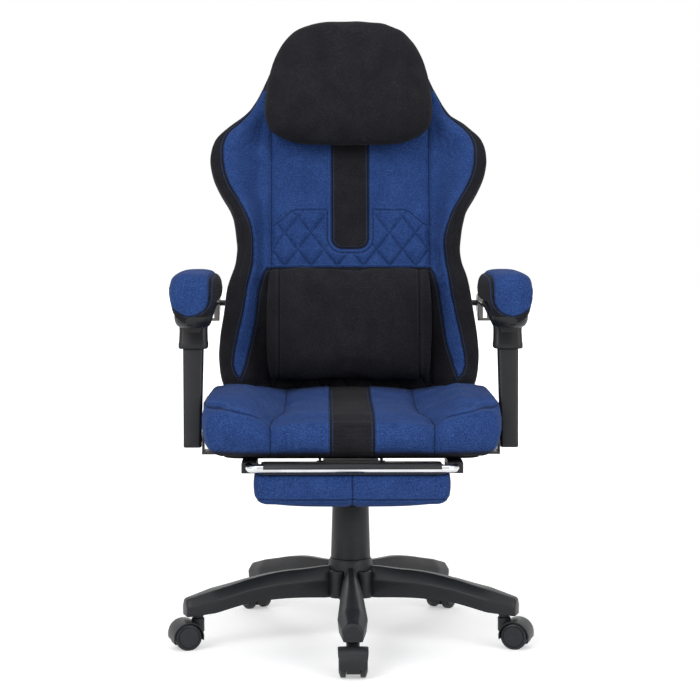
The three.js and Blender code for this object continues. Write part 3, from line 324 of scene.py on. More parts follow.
# Dark, middle and light of each cloth.
blueTones = linear(29, 48, 95), linear(41, 67, 121), linear(66, 97, 160)
blackTones = linear(23, 23, 26), linear(34, 34, 38), linear(57, 57, 62)
noStitches = 9.0  # an offset so far from the seam that its stitches are never seen


def clothColour(tree, place, tones, thread, fleck):
    dark, mid, light = tones
    weave = useGroup(tree, weaveGroup, Place=place, Thread=thread, Fleck=fleck)
    low = mixColour(tree, ramp(tree, weave.outputs["Tone"], 0.15, 0.5), dark, mid)
    colour = mixColour(tree, ramp(tree, weave.outputs["Tone"], 0.5, 0.95), low, light)
    return colour, weave.outputs["Height"]


def finishCloth(tree, shader, colour, weaveHeight, seamHeight=None, roughness=0.95, sheen=0.03):
    wire(tree, colour, shader.inputs["Base Color"])
    shader.inputs["Roughness"].default_value = roughness
    shader.inputs["Sheen Weight"].default_value = sheen
    shader.inputs["Sheen Roughness"].default_value = 0.5
    shader.inputs["Specular IOR Level"].default_value = 0.06
    normal = addBump(tree, weaveHeight, 0.45, 0.0006)
    if seamHeight is not None:
        normal = addBump(tree, seamHeight, 0.7, 0.0022, normal)
    wire(tree, normal, shader.inputs["Normal"])


# Paints shade into every crease by darkening the cloth there, and lays the stitches over it; seams are pairs
# of node and the strength of that painted shade.
def joinSeams(tree, colour, seams, threadColour, stitchShade=0.3):
    height = None
    for seam, creaseShade in seams:
        # Painted shade: a near-black mixed into the cloth along each crease.
        shade = times(tree, seam.outputs["Groove"], creaseShade)
        colour = mixColour(tree, shade, colour, (0.002, 0.003, 0.006, 1))
        thread = times(tree, seam.outputs["Stitch"], stitchShade)
        colour = mixColour(tree, thread, colour, threadColour)
        part = seam.outputs["Height"]
        height = part if height is None else mathNode(tree, "MINIMUM", height, part)
    return colour, height


def seamAt(tree, distance, along, crease, offset):
    return useGroup(tree, seamGroup, Distance=distance, Along=along, Crease=crease, Offset=offset)


def fabric(name, tones, seamNames=(), crease=0.0016, offset=0.005, fleck=1.0, thread=0.0011, sheen=0.03):
    material, tree, shader = startMaterial(name)
    colour, height = clothColour(tree, objectPlace(tree), tones, thread, fleck)
    seams = []
    # Each seam darkens its crease with painted shade at a strength of 0.6.
    for seam in seamNames:
        seams.append((seamAt(tree, attribute(tree, seam), attribute(tree, "along"), crease, offset), 0.6))
    colour, seamHeight = joinSeams(tree, colour, seams, tones[2])
    finishCloth(tree, shader, colour, height, seamHeight, sheen=sheen)
    return material


# Blue and black cloth for one material: both colours and the mean height of their weaves.
def bothCloths(tree):
    place = objectPlace(tree)
    blue, blueHeight = clothColour(tree, place, blueTones, 0.0011, 1.0)
    black, blackHeight = clothColour(tree, place, blackTones, 0.0009, 0.5)
    return blue, black, times(tree, plus(tree, blueHeight, blackHeight), 0.5)


def moulded(name, colour, paler, roughness=0.5, grain=900.0, wear=0.5, bump=0.12):
    material, tree, shader = startMaterial(name)
    mould = useGroup(tree, mouldGroup, Place=objectPlace(tree), Grain=grain, Wear=wear)
    tone = mixColour(tree, ramp(tree, mould.outputs["Tone"], 0.3, 0.7), colour, toned(colour, 1.25))
    tone = mixColour(tree, mould.outputs["Rub"], tone, paler)
    wire(tree, tone, shader.inputs["Base Color"])
    rough = plus(tree, roughness, times(tree, minus(tree, mould.outputs["Tone"], 0.5), 0.25))
    wire(tree, rough, shader.inputs["Roughness"])
    shader.inputs["Specular IOR Level"].default_value = 0.32
    wire(tree, addBump(tree, mould.outputs["Height"], bump, 0.0008), shader.inputs["Normal"])
    return material


def metal(name, colour, roughness, metallic=1.0, scratches=0.25, coat=0.0):
    material, tree, shader = startMaterial(name)
    place = objectPlace(tree)
    streaks = noise(tree, scaled(tree, place, (700, 60, 700)), 1.0, 3.0, 0.6)
    smudge = noise(tree, place, 22.0, 3.0)
    shade = mixColour(tree, ramp(tree, smudge, 0.35, 0.75), colour, toned(colour, 0.82))
    wire(tree, shade, shader.inputs["Base Color"])
    rough = plus(tree, roughness, times(tree, minus(tree, smudge, 0.45), 0.18))
    rough = plus(tree, rough, times(tree, streaks, 0.06), clamp=True)
    wire(tree, rough, shader.inputs["Roughness"])
    shader.inputs["Metallic"].default_value = metallic
    shader.inputs["Coat Weight"].default_value = coat
    wire(tree, addBump(tree, streaks, scratches * 0.2, 0.0002), shader.inputs["Normal"])
    return material


nylon = moulded("mouldedNylon", linear(25, 26, 29), linear(46, 47, 51), roughness=0.44, wear=0.45)
nylonSmooth = moulded(
    "smoothNylon", linear(19, 20, 23), linear(38, 39, 42), roughness=0.42, grain=1400.0, wear=0.25, bump=0.06)
wheelNylon = moulded("wheelNylon", linear(29, 31, 35), linear(52, 53, 57), roughness=0.42, wear=0.7)
paintedSteel = metal("paintedSteel", linear(26, 27, 29), 0.42, metallic=0.3, coat=0.2)
greySteel = metal("greySteel", linear(118, 116, 114), 0.34)
chrome = metal("chrome", linear(222, 224, 226), 0.08, scratches=0.1)
boltSteel = metal("boltSteel", linear(70, 70, 72), 0.32)
dustCloth = fabric("dustCloth", blackTones, thread=0.0014, fleck=0.5)
print("materials ready")


# Surface helpers
def meshPiece(name, points, faces, material, body, angle=None):
    mesh = bpy.data.meshes.new(name)
    mesh.from_pydata(np.asarray(points, float).reshape(-1, 3).tolist(), [], np.asarray(faces).tolist())
    mesh.validate()
    piece = linked(name, mesh)
    cleanMesh(piece)
    mesh.materials.append(material)
    mesh.polygons.foreach_set("use_smooth", np.full(len(mesh.polygons), True))
    if angle is not None:
        sharpen(piece, angle)
    if body:
        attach(piece, body)
    return piece


# Merges doubles, drops empty faces and turns every face outwards.
def cleanMesh(piece, distance=0.00002):
    work = bmesh.new()
    work.from_mesh(piece.data)
    bmesh.ops.remove_doubles(work, verts=work.verts, dist=distance)
    bmesh.ops.dissolve_degenerate(work, edges=work.edges, dist=distance / 4)
    bmesh.ops.recalc_face_normals(work, faces=work.faces)
    work.to_mesh(piece.data)
    work.free()


# Marks edges sharper than an angle, so that the shading breaks there.
def sharpen(piece, angle):
    work = bmesh.new()
    work.from_mesh(piece.data)
    limit = math.radians(angle)
    for edge in work.edges:
        edge.smooth = not (edge.is_manifold and edge.calc_face_angle(0) > limit)
    work.to_mesh(piece.data)
    work.free()


# Quads between neighbours of an index grid: (j, i), (j, i+1), (j+1, i+1), (j+1, i).
def gridQuads(indices, wrapRows=False, wrapColumns=False):
    rows = np.arange(indices.shape[0] - (0 if wrapRows else 1))
    columns = np.arange(indices.shape[1] - (0 if wrapColumns else 1))
    j, i = np.meshgrid(rows, columns, indexing="ij")
    j2, i2 = (j + 1) % indices.shape[0], (i + 1) % indices.shape[1]
    return np.stack([indices[j, i], indices[j, i2], indices[j2, i2], indices[j2, i]], -1).reshape(-1, 4)


# A skin over closed loops, an array of (loop, point, xyz), open at both ends.
def skinPiece(name, loops, material, body, angle=30):
    index = np.arange(loops.shape[0] * loops.shape[1]).reshape(loops.shape[:2])
    return meshPiece(name, loops, gridQuads(index, wrapColumns=True), material, body, angle)


# The same skin, closed at both ends by a shrunken loop and its centre.
def loftPiece(name, loops, material, body, angle=None):
    loops = np.asarray(loops, float)
    first, last = (np.repeat(loops[k].mean(0)[None, None], loops.shape[1], 1) for k in (0, -1))
    return skinPiece(name, np.concatenate([first, loops, last]), material, body, angle)


# Radius and height pairs turned about an axis: (r cos t, r sin t, h), moved to the centre.
def turnedPoints(profile, sides, centre, axis="Z"):
    profile = np.asarray(profile, float)
    angle = np.linspace(0, 2 * np.pi, sides, endpoint=False)
    radius, height = profile[:, :1], np.repeat(profile[:, 1:], sides, 1)
    a, b = radius * np.cos(angle), radius * np.sin(angle)
    order = {"Z": (a, b, height), "X": (height, a, b), "Y": (b, height, a)}[axis]
    return np.stack(order, -1) + np.asarray(centre, float)


# Turns points about the column's upright axis.
def turnAbout(points, angle):
    c, s = math.cos(angle), math.sin(angle)
    x, y = points[..., 0], points[..., 1] + shiftBack
    return np.stack([c * x - s * y, s * x + c * y - shiftBack, points[..., 2]], -1)


def turnedPiece(name, profile, centre, material, body, axis="Z", sides=64, angle=30, turn=0.0):
    points = turnAbout(turnedPoints(profile, sides, centre, axis), turn)
    return skinPiece(name, points, material, body, angle)


# Corner arcs of one radius joined by straight sides: an array of (a, b).
def roundedLoop(halfA, halfB, corner, steps=6):
    corner = min(corner, halfA * 0.999, halfB * 0.999)
    angle = np.concatenate([np.linspace(q, q + 1, steps) for q in range(4)]) * np.pi / 2
    signs = np.repeat([[1, 1], [-1, 1], [-1, -1], [1, -1]], steps, 0)
    centres = signs * [halfA - corner, halfB - corner]
    return centres + corner * np.stack([np.cos(angle), np.sin(angle)], -1)


# A circle carried along a path: path + radius (cos t side + sin t lift), with rounded ends.
def tubePiece(name, path, radius, material, body, sides=24, up=(0, 0, 1), angle=40):
    path = np.asarray(path, float)
    along = np.gradient(path, axis=0)
    along /= np.linalg.norm(along, axis=1, keepdims=True)
    side = np.cross(along, np.asarray(up, float))
    side /= np.linalg.norm(side, axis=1, keepdims=True)
    lift = np.cross(side, along)
    turn = np.linspace(0, 2 * np.pi, sides, endpoint=False)[None, :, None]
    radii = np.broadcast_to(np.asarray(radius, float), (len(path),))[:, None, None]
    loops = path[:, None] + radii * (np.cos(turn) * side[:, None] + np.sin(turn) * lift[:, None])
    return loftPiece(name, loops, material, body, angle)


# A pad over a (u, v) grid: its face, a side rolled over the edge by (1 - cos, 1 - sin) of the roll, and its
# back. Returns in-plane places, thicknesses and quads.
def padPoints(u, v, plan, crown, roll, backRoll=None, sideSteps=6, bulge=0.0):
    backRoll = roll if backRoll is None else backRoll
    grid = np.meshgrid(u, v, indexing="xy")
    face = plan(grid[0], grid[1], roll)
    height = crown(grid[0], grid[1])
    nv, nu = grid[0].shape
    bottom = [(0, i) for i in range(nu - 1)] + [(j, nu - 1) for j in range(nv - 1)]
    topSide = [(nv - 1, i) for i in range(nu - 1, 0, -1)] + [(j, 0) for j in range(nv - 1, 0, -1)]
    border = tuple(np.array(bottom + topSide).T)
    edgeU, edgeV, edgeHeight = grid[0][border], grid[1][border], height[border]
    turn = np.linspace(0, np.pi / 2, sideSteps + 1)[1:]
    insets = np.concatenate([roll * (1 - np.sin(turn)), [-bulge, -bulge], backRoll * (1 - np.cos(turn))])
    drops = roll * (1 - np.cos(turn))
    lifts = backRoll * (1 - np.sin(turn))
    places, heights = [np.stack(face, -1).reshape(-1, 2)], [height.ravel()]
    for k in range(len(insets)):
        ring = plan(edgeU, edgeV, insets[k])
        places.append(np.stack(ring, -1))
        if k < sideSteps:
            level = edgeHeight - drops[k]
        elif k < sideSteps + 2:
            share = (k - sideSteps + 1) / 3
            level = (edgeHeight - roll) * (1 - share) + backRoll * share
        else:
            level = np.full_like(edgeHeight, lifts[k - sideSteps - 2])
        heights.append(level)
    back = plan(grid[0], grid[1], backRoll)
    places.append(np.stack(back, -1).reshape(-1, 2))
    heights.append(np.zeros(nv * nu))
    faceIndex = np.arange(nv * nu).reshape(nv, nu)
    ringCount = len(edgeHeight)
    ringIndex = nv * nu + np.arange(len(insets) * ringCount).reshape(len(insets), ringCount)
    backIndex = nv * nu + len(insets) * ringCount + np.arange(nv * nu).reshape(nv, nu)
    rings = np.concatenate([faceIndex[border][None], ringIndex, backIndex[border][None]])
    quads = np.concatenate([
        gridQuads(faceIndex),
        gridQuads(rings, wrapColumns=True)[:, ::-1],
        gridQuads(backIndex)[:, ::-1],
    ])
    return np.concatenate(places), np.concatenate(heights), quads


# u (a - inset) (1 - c |v|^p) across and v (b - inset) (1 - c |u|^p) along.
def roundedPlan(halfA, halfB, cornerShare, power=7):
    def plan(u, v, inset):
        across = u * (halfA - inset) * (1 - cornerShare * np.abs(v) ** power)
        along = v * (halfB - inset) * (1 - cornerShare * np.abs(u) ** power)
        return across, along
    return plan


# Places from -1 to 1 that crowd towards both ends: sin t.
def toEnds(count):
    return np.sin(np.linspace(-np.pi / 2, np.pi / 2, count))


# A bell across a field: exp(-(field / width)^2).
def groove(field, width):
    return np.exp(-(field / width) ** 2)


# The same bell at a depth; size is a pair of depth and width.
def pressed(field, size):
    return size[0] * groove(field, size[1])


# An even step from 0 to 1: s^2 (3 - 2 s).
def smooth(value, low, high):
    share = np.clip((value - low) / (high - low), 0, 1)
    return share * share * (3 - 2 * share)


# The table by straight lines, blurred with a bell curve so that the outline has no corners.
def softTable(rows, share, blur=0.012):
    rows = np.asarray(rows, float)
    fine = np.linspace(-0.1, 1.1, 1201)
    values = np.interp(fine, rows[:, 0], rows[:, 1])
    reach = int(3 * blur / 0.001)
    bell = np.exp(-0.5 * (np.arange(-reach, reach + 1) * 0.001 / blur) ** 2)
    padded = np.pad(values, reach, mode="edge")
    return np.interp(share, fine, np.convolve(padded, bell / bell.sum(), mode="valid"))


def getPoints(piece):
    points = np.empty(len(piece.data.vertices) * 3, np.float32)
    piece.data.vertices.foreach_get("co", points)
    return points.reshape(-1, 3).astype(float)


def setPoints(piece, points):
    piece.data.vertices.foreach_set("co", np.asarray(points, np.float32).ravel())
    piece.data.update()


def getNormals(piece):
    normals = np.empty(len(piece.data.vertices) * 3, np.float32)
    piece.data.vertex_normals.foreach_get("vector", normals)
    return normals.reshape(-1, 3).astype(float)


def addValues(piece, **fields):
    for name, values in fields.items():
        made = piece.data.attributes.get(name) or piece.data.attributes.new(name, "FLOAT", "POINT")
        made.data.foreach_set("value", np.asarray(values, np.float32))


# Blows the form up as sewn cloth, then holds every point within a cap of where it was.
def inflate(piece, voxel, pressure, cap, frames=20, shrink=0.0, stiffness=12.0):
    bpy.context.view_layer.objects.active = piece
    remesh = piece.modifiers.new("remesh", "REMESH")
    remesh.mode = "VOXEL"
    remesh.voxel_size = voxel
    applyModifiers(piece)
    points, normals = getPoints(piece), getNormals(piece)
    start = points - normals * shrink
    setPoints(piece, start)
    cloth = piece.modifiers.new("cloth", "CLOTH")
    cloth.settings.use_pressure = True
    cloth.settings.uniform_pressure_force = pressure
    cloth.settings.effector_weights.gravity = 0
    cloth.settings.tension_stiffness = stiffness
    cloth.settings.compression_stiffness = stiffness
    cloth.settings.bending_stiffness = 0.4
    scene = bpy.context.scene
    for step in range(1, frames + 1):
        scene.frame_set(step)
    applyModifiers(piece)
    scene.frame_set(1)
    blown = getPoints(piece)
    move = blown - start
    size = np.linalg.norm(move, axis=1, keepdims=True)
    setPoints(piece, start + move * np.minimum(1, cap / np.maximum(size, 1e-9)))
    even = piece.modifiers.new("even", "SMOOTH")
    even.factor = 0.5
    even.iterations = 10
    applyModifiers(piece)
    return piece


def applyModifiers(piece):
    graph = bpy.context.evaluated_depsgraph_get()
    made = bpy.data.meshes.new_from_object(piece.evaluated_get(graph))
    old = piece.data
    materials = [m for m in old.materials]
    piece.modifiers.clear()
    piece.data = made
    if not made.materials:
        for material in materials:
            made.materials.append(material)
    made.polygons.foreach_set("use_smooth", np.full(len(made.polygons), True))


def subdivide(piece, levels=1):
    modifier = piece.modifiers.new("subdivision", "SUBSURF")
    modifier.levels = levels
    modifier.render_levels = levels
    applyModifiers(piece)


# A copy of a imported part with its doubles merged, flat faces joined and its edges eased.
def dressed(nodeName, material, bevel=0.0012, segments=2, angle=32):
    node = nodes[nodeName]
    mesh = node.data.copy()
    piece = linked(nodeName + "_finish", mesh)
    mesh.materials.clear()
    mesh.materials.append(material)
    work = bmesh.new()
    work.from_mesh(mesh)
    bmesh.ops.remove_doubles(work, verts=work.verts, dist=0.00003)
    bmesh.ops.dissolve_limit(work, angle_limit=math.radians(1.5), verts=work.verts, edges=work.edges)
    work.to_mesh(mesh)
    work.free()
    ease = piece.modifiers.new("ease", "BEVEL")
    ease.width = bevel
    ease.segments = segments
    ease.limit_method = "ANGLE"
    ease.angle_limit = math.radians(angle)
    ease.harden_normals = False
    applyModifiers(piece)
    sharpen(piece, 40)
    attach(piece, bodyOf[nodeName])
    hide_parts(nodeName)
    return piece


def seatPlace(side, forward, height):
    return np.stack([side, -forward - shiftBack, height], -1)


# Half the length and the middle of a piece that reaches from its rear to its front.
def lengthOf(values):
    return (values["front"] + values["rear"]) / 2, (values["front"] - values["rear"]) / 2


# Backrest
backValues = {
    "axisForward": -0.255,
    "axisHeight": 0.425,
    "lean": math.radians(12),
    "halfWidth": 0.279,
    "height": 0.731,
    "start": 0.027,
    "cushionStart": 0.0124,
    "thickness": 0.050,
    "bolster": 0.040,
    "lowBolster": 0.55,
    "seamHalf": 0.159,
    "seamShift": 0.003,
    "edgeRoll": 0.014,
    "stripeHalf": 0.0375,
    "stripeEnd": 0.301,
    "stripeCorner": 0.022,
    "diamondHalfWidth": 0.0263,
    "diamondHalfHeight": 0.0341,
    "diamondRow": 0.3665,
    "quiltTop": 0.381,
    "quiltSide": 0.349,
    "quiltPuff": 0.0065,
    "panelGroove": (0.0035, 0.006),
    "bandGroove": (0.0018, 0.004),
    "stripeGroove": (0.0022, 0.003),
    "hemGroove": (0.0015, 0.003),
    "piping": (0.0025, 0.0032),
    "pipingAway": 0.0045,
    "pleat": 0.0016,
    "lowEdge": 0.010,
    "crownSeam": 0.628,
    "underPillow": 0.66,
    "coverGroove": (0.0018, 0.003),
    "coverHem": 0.19,
}
backOutline = [
    (0.0, 0.87), (0.012, 0.9), (0.039, 0.92), (0.083, 0.93), (0.142, 0.918), (0.196, 0.895), (0.26, 0.874),
    (0.328, 0.817), (0.379, 0.8), (0.431, 0.805), (0.482, 0.845), (0.529, 0.922), (0.573, 0.977),
    (0.617, 1.0), (0.649, 0.994), (0.686, 0.955), (0.72, 0.856), (0.754, 0.747), (0.806, 0.655),
    (0.845, 0.607), (0.896, 0.55), (0.937, 0.48), (0.969, 0.4), (0.99, 0.32), (1.0, 0.24),
]
# Black edging beside the blue wings: height up the back, width of the band.
edgeBand = [
    (0.0, 0.075), (0.036, 0.043), (0.05, 0.031), (0.065, 0.027), (0.103, 0.0336), (0.148, 0.038),
    (0.204, 0.042), (0.26, 0.037), (0.318, 0.034), (0.391, 0.024), (0.487, 0.0255), (0.553, 0.016),
    (0.582, 0.007), (0.60, 0.003), (0.64, 0.002), (0.8, 0.002),
]
# Inner edge of the blue wing low down. Between it and the lumbar pillow the cloth is painted black as shade,
# for the shadow in that hollow.
paintedShadeEdge = [
    (0.0, 0.236), (0.038, 0.220), (0.065, 0.207), (0.103, 0.197), (0.148, 0.189), (0.214, 0.181),
    (0.25, 0.172), (0.275, 0.158), (0.3, 0.1),
]


# Turns side, distance out from the hinge plane and height up the back into the chair's frame.
def backPlace(side, out, up):
    values = backValues
    forward = values["axisForward"] + out * np.cos(values["lean"]) - up * np.sin(values["lean"])
    height = values["axisHeight"] + out * np.sin(values["lean"]) + up * np.cos(values["lean"])
    return seatPlace(side, forward, height)


# Undoes backPlace: returns side, out and up.
def backLocal(points):
    values = backValues
    forward = -(points[:, 1] + shiftBack) - values["axisForward"]
    height = points[:, 2] - values["axisHeight"]
    c, s = math.cos(values["lean"]), math.sin(values["lean"])
    return points[:, 0], forward * c + height * s, -forward * s + height * c


def backHalf(share):
    return backValues["halfWidth"] * softTable(backOutline, share)


# Centre columns run to the seam at |u| = 1, wing columns from there to the outline at |u| = 2.
def backPlan(u, v, inset):
    values = backValues
    share = (v + 1) / 2
    half = backHalf(share) - inset * (1 - 0.5 * smooth(v, 0.7, 1))
    seam = np.minimum(values["seamHalf"], half * 0.86)
    across = np.abs(u)
    side = np.where(across <= 1, across * seam, seam + (across - 1) * (half - seam))
    up = values["start"] + share * values["height"]
    drawn = np.where(v <= -1, inset, np.where(v >= 1, -inset, 0))
    return np.sign(u) * side, up + drawn * 0.8


def backCrown(u, v):
    values = backValues
    share = (v + 1) / 2
    across = np.abs(u)
    topFade = 1 - smooth(share, 0.66, 0.78)
    lowFade = values["lowBolster"] + (1 - values["lowBolster"]) * smooth(share, 0.12, 0.5)
    rise = values["bolster"] * smooth(across, 1.12, 1.75) * (1 - 0.25 * smooth(across, 1.85, 2))
    roof = 0.004 * (1 - np.abs(across - 1.3) / 0.3) * topFade * (across > 1)
    rise = np.maximum(rise * topFade * lowFade, roof)
    edge = values["edgeRoll"] * 0.6 * (smooth(share, 0.97, 1) + 1 - smooth(share, 0, 0.03))
    puff = 0.003 * np.cos(np.clip(across, 0, 1) * np.pi / 2) * (1 - smooth(share, 0.9, 1))
    return values["thickness"] + rise - edge + puff


# Distance to the nearest quilting line, and the zone that is quilted, signed in metres.
def quiltFields(side, up):
    values = backValues
    a = (side - values["seamShift"]) / values["diamondHalfWidth"]
    b = (up - values["diamondRow"]) / values["diamondHalfHeight"]
    fold = lambda t: np.abs((t + 1) % 2 - 1)
    line = np.minimum(fold(a + b), fold(a - b)) * values["diamondHalfWidth"] * 0.8
    across = np.abs(side - values["seamShift"])
    fall = (values["quiltTop"] - values["quiltSide"]) * smooth(across, 0.108, values["seamHalf"])
    return line, values["quiltTop"] - fall - up


# Signed distance to the centre stripe, a bar with a rounded lower end.
def stripeField(side, up):
    values = backValues
    corner = values["stripeCorner"]
    qx = np.abs(side - values["seamShift"]) - (values["stripeHalf"] - corner)
    qz = (values["stripeEnd"] + corner) - up
    outside = np.hypot(np.maximum(qx, 0), np.maximum(qz, 0))
    return outside + np.minimum(np.maximum(qx, qz), 0) - corner


def makeBackrest():
    values = backValues
    centre = np.linspace(-1, 1, 97)
    wing = 1 + np.linspace(0, 1, 27)[1:]
    u = np.concatenate([-wing[::-1], centre, wing])
    v = np.linspace(-1, 1, 231)
    places, heights, quads = padPoints(
        u, v, backPlan, backCrown, values["edgeRoll"], backRoll=0.008, bulge=0.002)
    points = backPlace(places[:, 0], values["cushionStart"] + heights, places[:, 1])
    piece = meshPiece("backrest_upholstery", points, quads, backCloth(), bodyOf["backrest_cushion"])
    points, normals = getPoints(piece), getNormals(piece)
    side, out, up = backLocal(points)
    facing = smooth(out - values["cushionStart"], 0.03, 0.042)
    panel = np.abs(side - values["seamShift"]) - values["seamHalf"]
    stripe = stripeField(side, up)
    line, zone = quiltFields(side, up)
    across = np.abs(side)
    half = backHalf((up - values["start"]) / values["height"])
    band = half - across - np.interp(up, *np.array(edgeBand).T)
    # Low down, the cloth inside the wing's inner edge is painted black as shade beside the lumbar pillow.
    inner = across - np.interp(up, *np.array(paintedShadeEdge).T)
    wingBandAndShadeField = np.minimum(band, np.where(up < 0.29, np.maximum(inner, (up - 0.262) * 0.8), 1))
    seams = pressed(panel, values["panelGroove"]) * (1 - smooth(up, 0.62, values["underPillow"]))
    seams += pressed(band, values["bandGroove"]) * (up > 0.03) * (up < 0.6)
    seams += pressed(stripe, values["stripeGroove"]) * (up < values["underPillow"])
    quilted = (zone > 0) & (panel < 0) & (stripe > 0.008)
    puff = values["quiltPuff"] * np.sqrt(np.clip(line / 0.012, 0, 1)) * np.clip(zone / 0.012, 0, 1)
    puff *= np.clip(-panel / 0.01, 0, 1) * np.clip((stripe - 0.008) / 0.008, 0, 1)
    piping = pressed(stripe - values["pipingAway"], values["piping"]) * (up < values["underPillow"])
    hem = pressed(zone, values["hemGroove"]) * (panel < 0) * (stripe > 0)
    move = (np.where(quilted, puff, 0) + piping - seams - hem) * facing
    inWing = smooth(across, 0.16, 0.2) * (1 - smooth(across, 0.23, 0.26))
    wrinkle = values["pleat"] * np.sin(up * 60 + 3 * np.sin(side * 14)) * inWing
    nearEnd = 1 - smooth(up, values["start"], values["start"] + 0.05)
    lowEdge = values["lowEdge"] * smooth(out, 0.026, 0.045) * nearEnd
    drop = backPlace(side, out, up - lowEdge) - backPlace(side, out, up)
    setPoints(piece, points + drop + normals * (move + wrinkle * facing)[:, None])
    addValues(
        piece, panel=panel, crown=values["crownSeam"] - up, stripe=stripe, wing=wingBandAndShadeField, zone=zone, up=up,
        side=side,
    )
    uv = piece.data.uv_layers.new(name="flat")
    corners = np.empty(len(piece.data.loops), np.int32)
    piece.data.loops.foreach_get("vertex_index", corners)
    uv.data.foreach_set("uv", np.stack([side, up], -1)[corners].astype(np.float32).ravel())
    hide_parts("backrest_cushion")
    return piece


def backCloth():
    values = backValues
    material, tree, shader = startMaterial("backrestCloth")
    blue, black, height = bothCloths(tree)
    panel, stripe, wing, zone = (attribute(tree, name) for name in ("panel", "stripe", "wing", "zone"))
    up, side = attribute(tree, "up"), attribute(tree, "side")
    # Blue except in the black edging, the stripe and the top; the black low down beside the lumbar pillow is
    # painted shade.
    isBlue = times(tree, ramp(tree, wing, -0.0004, 0.0004), ramp(tree, stripe, -0.0004, 0.0004))
    isBlue = times(tree, isBlue, ramp(tree, attribute(tree, "crown"), -0.0004, 0.0004))
    colour = mixColour(tree, isBlue, black, blue)
    uv = addNode(tree, "ShaderNodeUVMap", uv_map="flat").outputs[0]
    parts = addNode(tree, "ShaderNodeSeparateXYZ")
    wire(tree, uv, parts.inputs[0])
    a = over(tree, minus(tree, parts.outputs[0], values["seamShift"]), values["diamondHalfWidth"])
    b = over(tree, minus(tree, parts.outputs[1], values["diamondRow"]), values["diamondHalfHeight"])
    lines = [mathNode(tree, "PINGPONG", mathNode(tree, kind, a, b), 1.0) for kind in ("ADD", "SUBTRACT")]
    nearest = times(tree, mathNode(tree, "MINIMUM", *lines), values["diamondHalfWidth"] * 0.8)
    outside = mathNode(tree, "MAXIMUM", panel, times(tree, zone, -1.0))
    outside = mathNode(tree, "MAXIMUM", outside, minus(tree, 0.009, stripe))
    quiltLine = plus(tree, nearest, ramp(tree, outside, -0.0005, 0.0005, 0.0, 10.0))
    # The second number of each seam is the strength of the shade painted into its crease, the quilting lines
    # included.
    seams = [
        (seamAt(tree, quiltLine, up, 0.0010, noStitches), 0.38),
        (seamAt(tree, panel, up, 0.0014, noStitches), 0.6),
        (seamAt(tree, wing, up, 0.0013, 0.0045), 0.5),
        (seamAt(tree, stripe, up, 0.0012, 0.0045), 0.5),
    ]
    besidePanel = mathNode(tree, "MAXIMUM", panel, minus(tree, 0.009, stripe))
    hem = plus(tree, zone, ramp(tree, besidePanel, -0.001, 0.001, 0.0, 10.0))
    besideStripe = mathNode(tree, "ABSOLUTE", minus(tree, stripe, 0.0085))
    besideStripe = plus(tree, besideStripe, ramp(tree, zone, -0.0005, 0.0005, 10.0, 0.0))
    hem = mathNode(tree, "MINIMUM", mathNode(tree, "ABSOLUTE", hem), besideStripe)
    seams.append((seamAt(tree, hem, side, 0.0011, 0.004), 0.5))
    colour, seamHeight = joinSeams(tree, colour, seams, blueTones[2])
    finishCloth(tree, shader, colour, height, seamHeight)
    return material


makeBackrest()
print("backrest cushion ready")


# The rear of the backrest: a crowned cloth panel over the shell, flat where the yoke bears on it.
def makeBackCover():
    values = backValues
    plan = lambda u, v, inset: backPlan(u, v, inset + 0.005)

    def crown(u, v):
        return 0.024 + 0.006 * smooth((v + 1) / 2, 0.3, 0.5) * np.clip(1 - (np.abs(u) / 2) ** 4, 0, 1)

    wing = 1 + np.linspace(0, 1, 17)[1:]
    u = np.concatenate([-wing[::-1], np.linspace(-1, 1, 49), wing])
    v = np.linspace(-1, 1, 161)
    places, heights, quads = padPoints(u, v, plan, crown, 0.009, backRoll=0.006)
    points = backPlace(places[:, 0], 0.012 - heights, places[:, 1])
    piece = meshPiece("backrest_cover", points, quads, rearCloth(), bodyOf["backrest_shell"])
    points, normals = getPoints(piece), getNormals(piece)
    side, out, up = backLocal(points)
    across = np.abs(side)
    curve = across - (0.10 + 0.03 * np.sin(np.clip((up - 0.2) / 0.5, 0, 1) * np.pi))
    facing = smooth(-out, 0.004, 0.010)
    low = up - values["coverHem"]
    depth, width = values["coverGroove"]
    move = -depth * (groove(curve, width) * (low > 0) + groove(low, width)) * facing
    setPoints(piece, points + normals * move[:, None])
    along = np.where(np.abs(low) < 0.004, side, up)
    addValues(piece, curve=np.where(low > 0, curve, 0.1), low=low, along=along)
    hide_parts("backrest_shell")
    for sign, label in ((-1, "left"), (1, "right")):
        place = backPlace(np.array(0.0), np.array(0.0), np.array(boltValues["up"]))
        makeBolt(f"arm_bolt_{label}", place, sign)
    return piece


boltValues = {"up": 0.201, "start": 0.224, "end": 0.2664, "radius": 0.006, "headRadius": 0.011, "head": 0.006}


# A shaft and a domed head with a round socket, about the side axis.
def makeBolt(name, centre, sign):
    values = boltValues
    start, end, radius = values["start"], values["end"], values["radius"]
    head = [(1, 0), (1, 0.55), (0.9, 0.85), (0.62, 1), (0.42, 1), (0.38, 0.45), (0, 0.45)]
    profile = [(0, start), (radius, start), (radius, end)]
    profile += [(values["headRadius"] * r, end + values["head"] * h) for r, h in head]
    profile = [(r, sign * h) for r, h in profile]
    return turnedPiece(name, profile, centre, boltSteel, "back", axis="X", sides=24)


def rearCloth():
    return fabric("rearCloth", blackTones, ["curve", "low"], crease=0.0015, offset=0.005, fleck=0.5)


makeBackCover()
print("backrest cover ready")


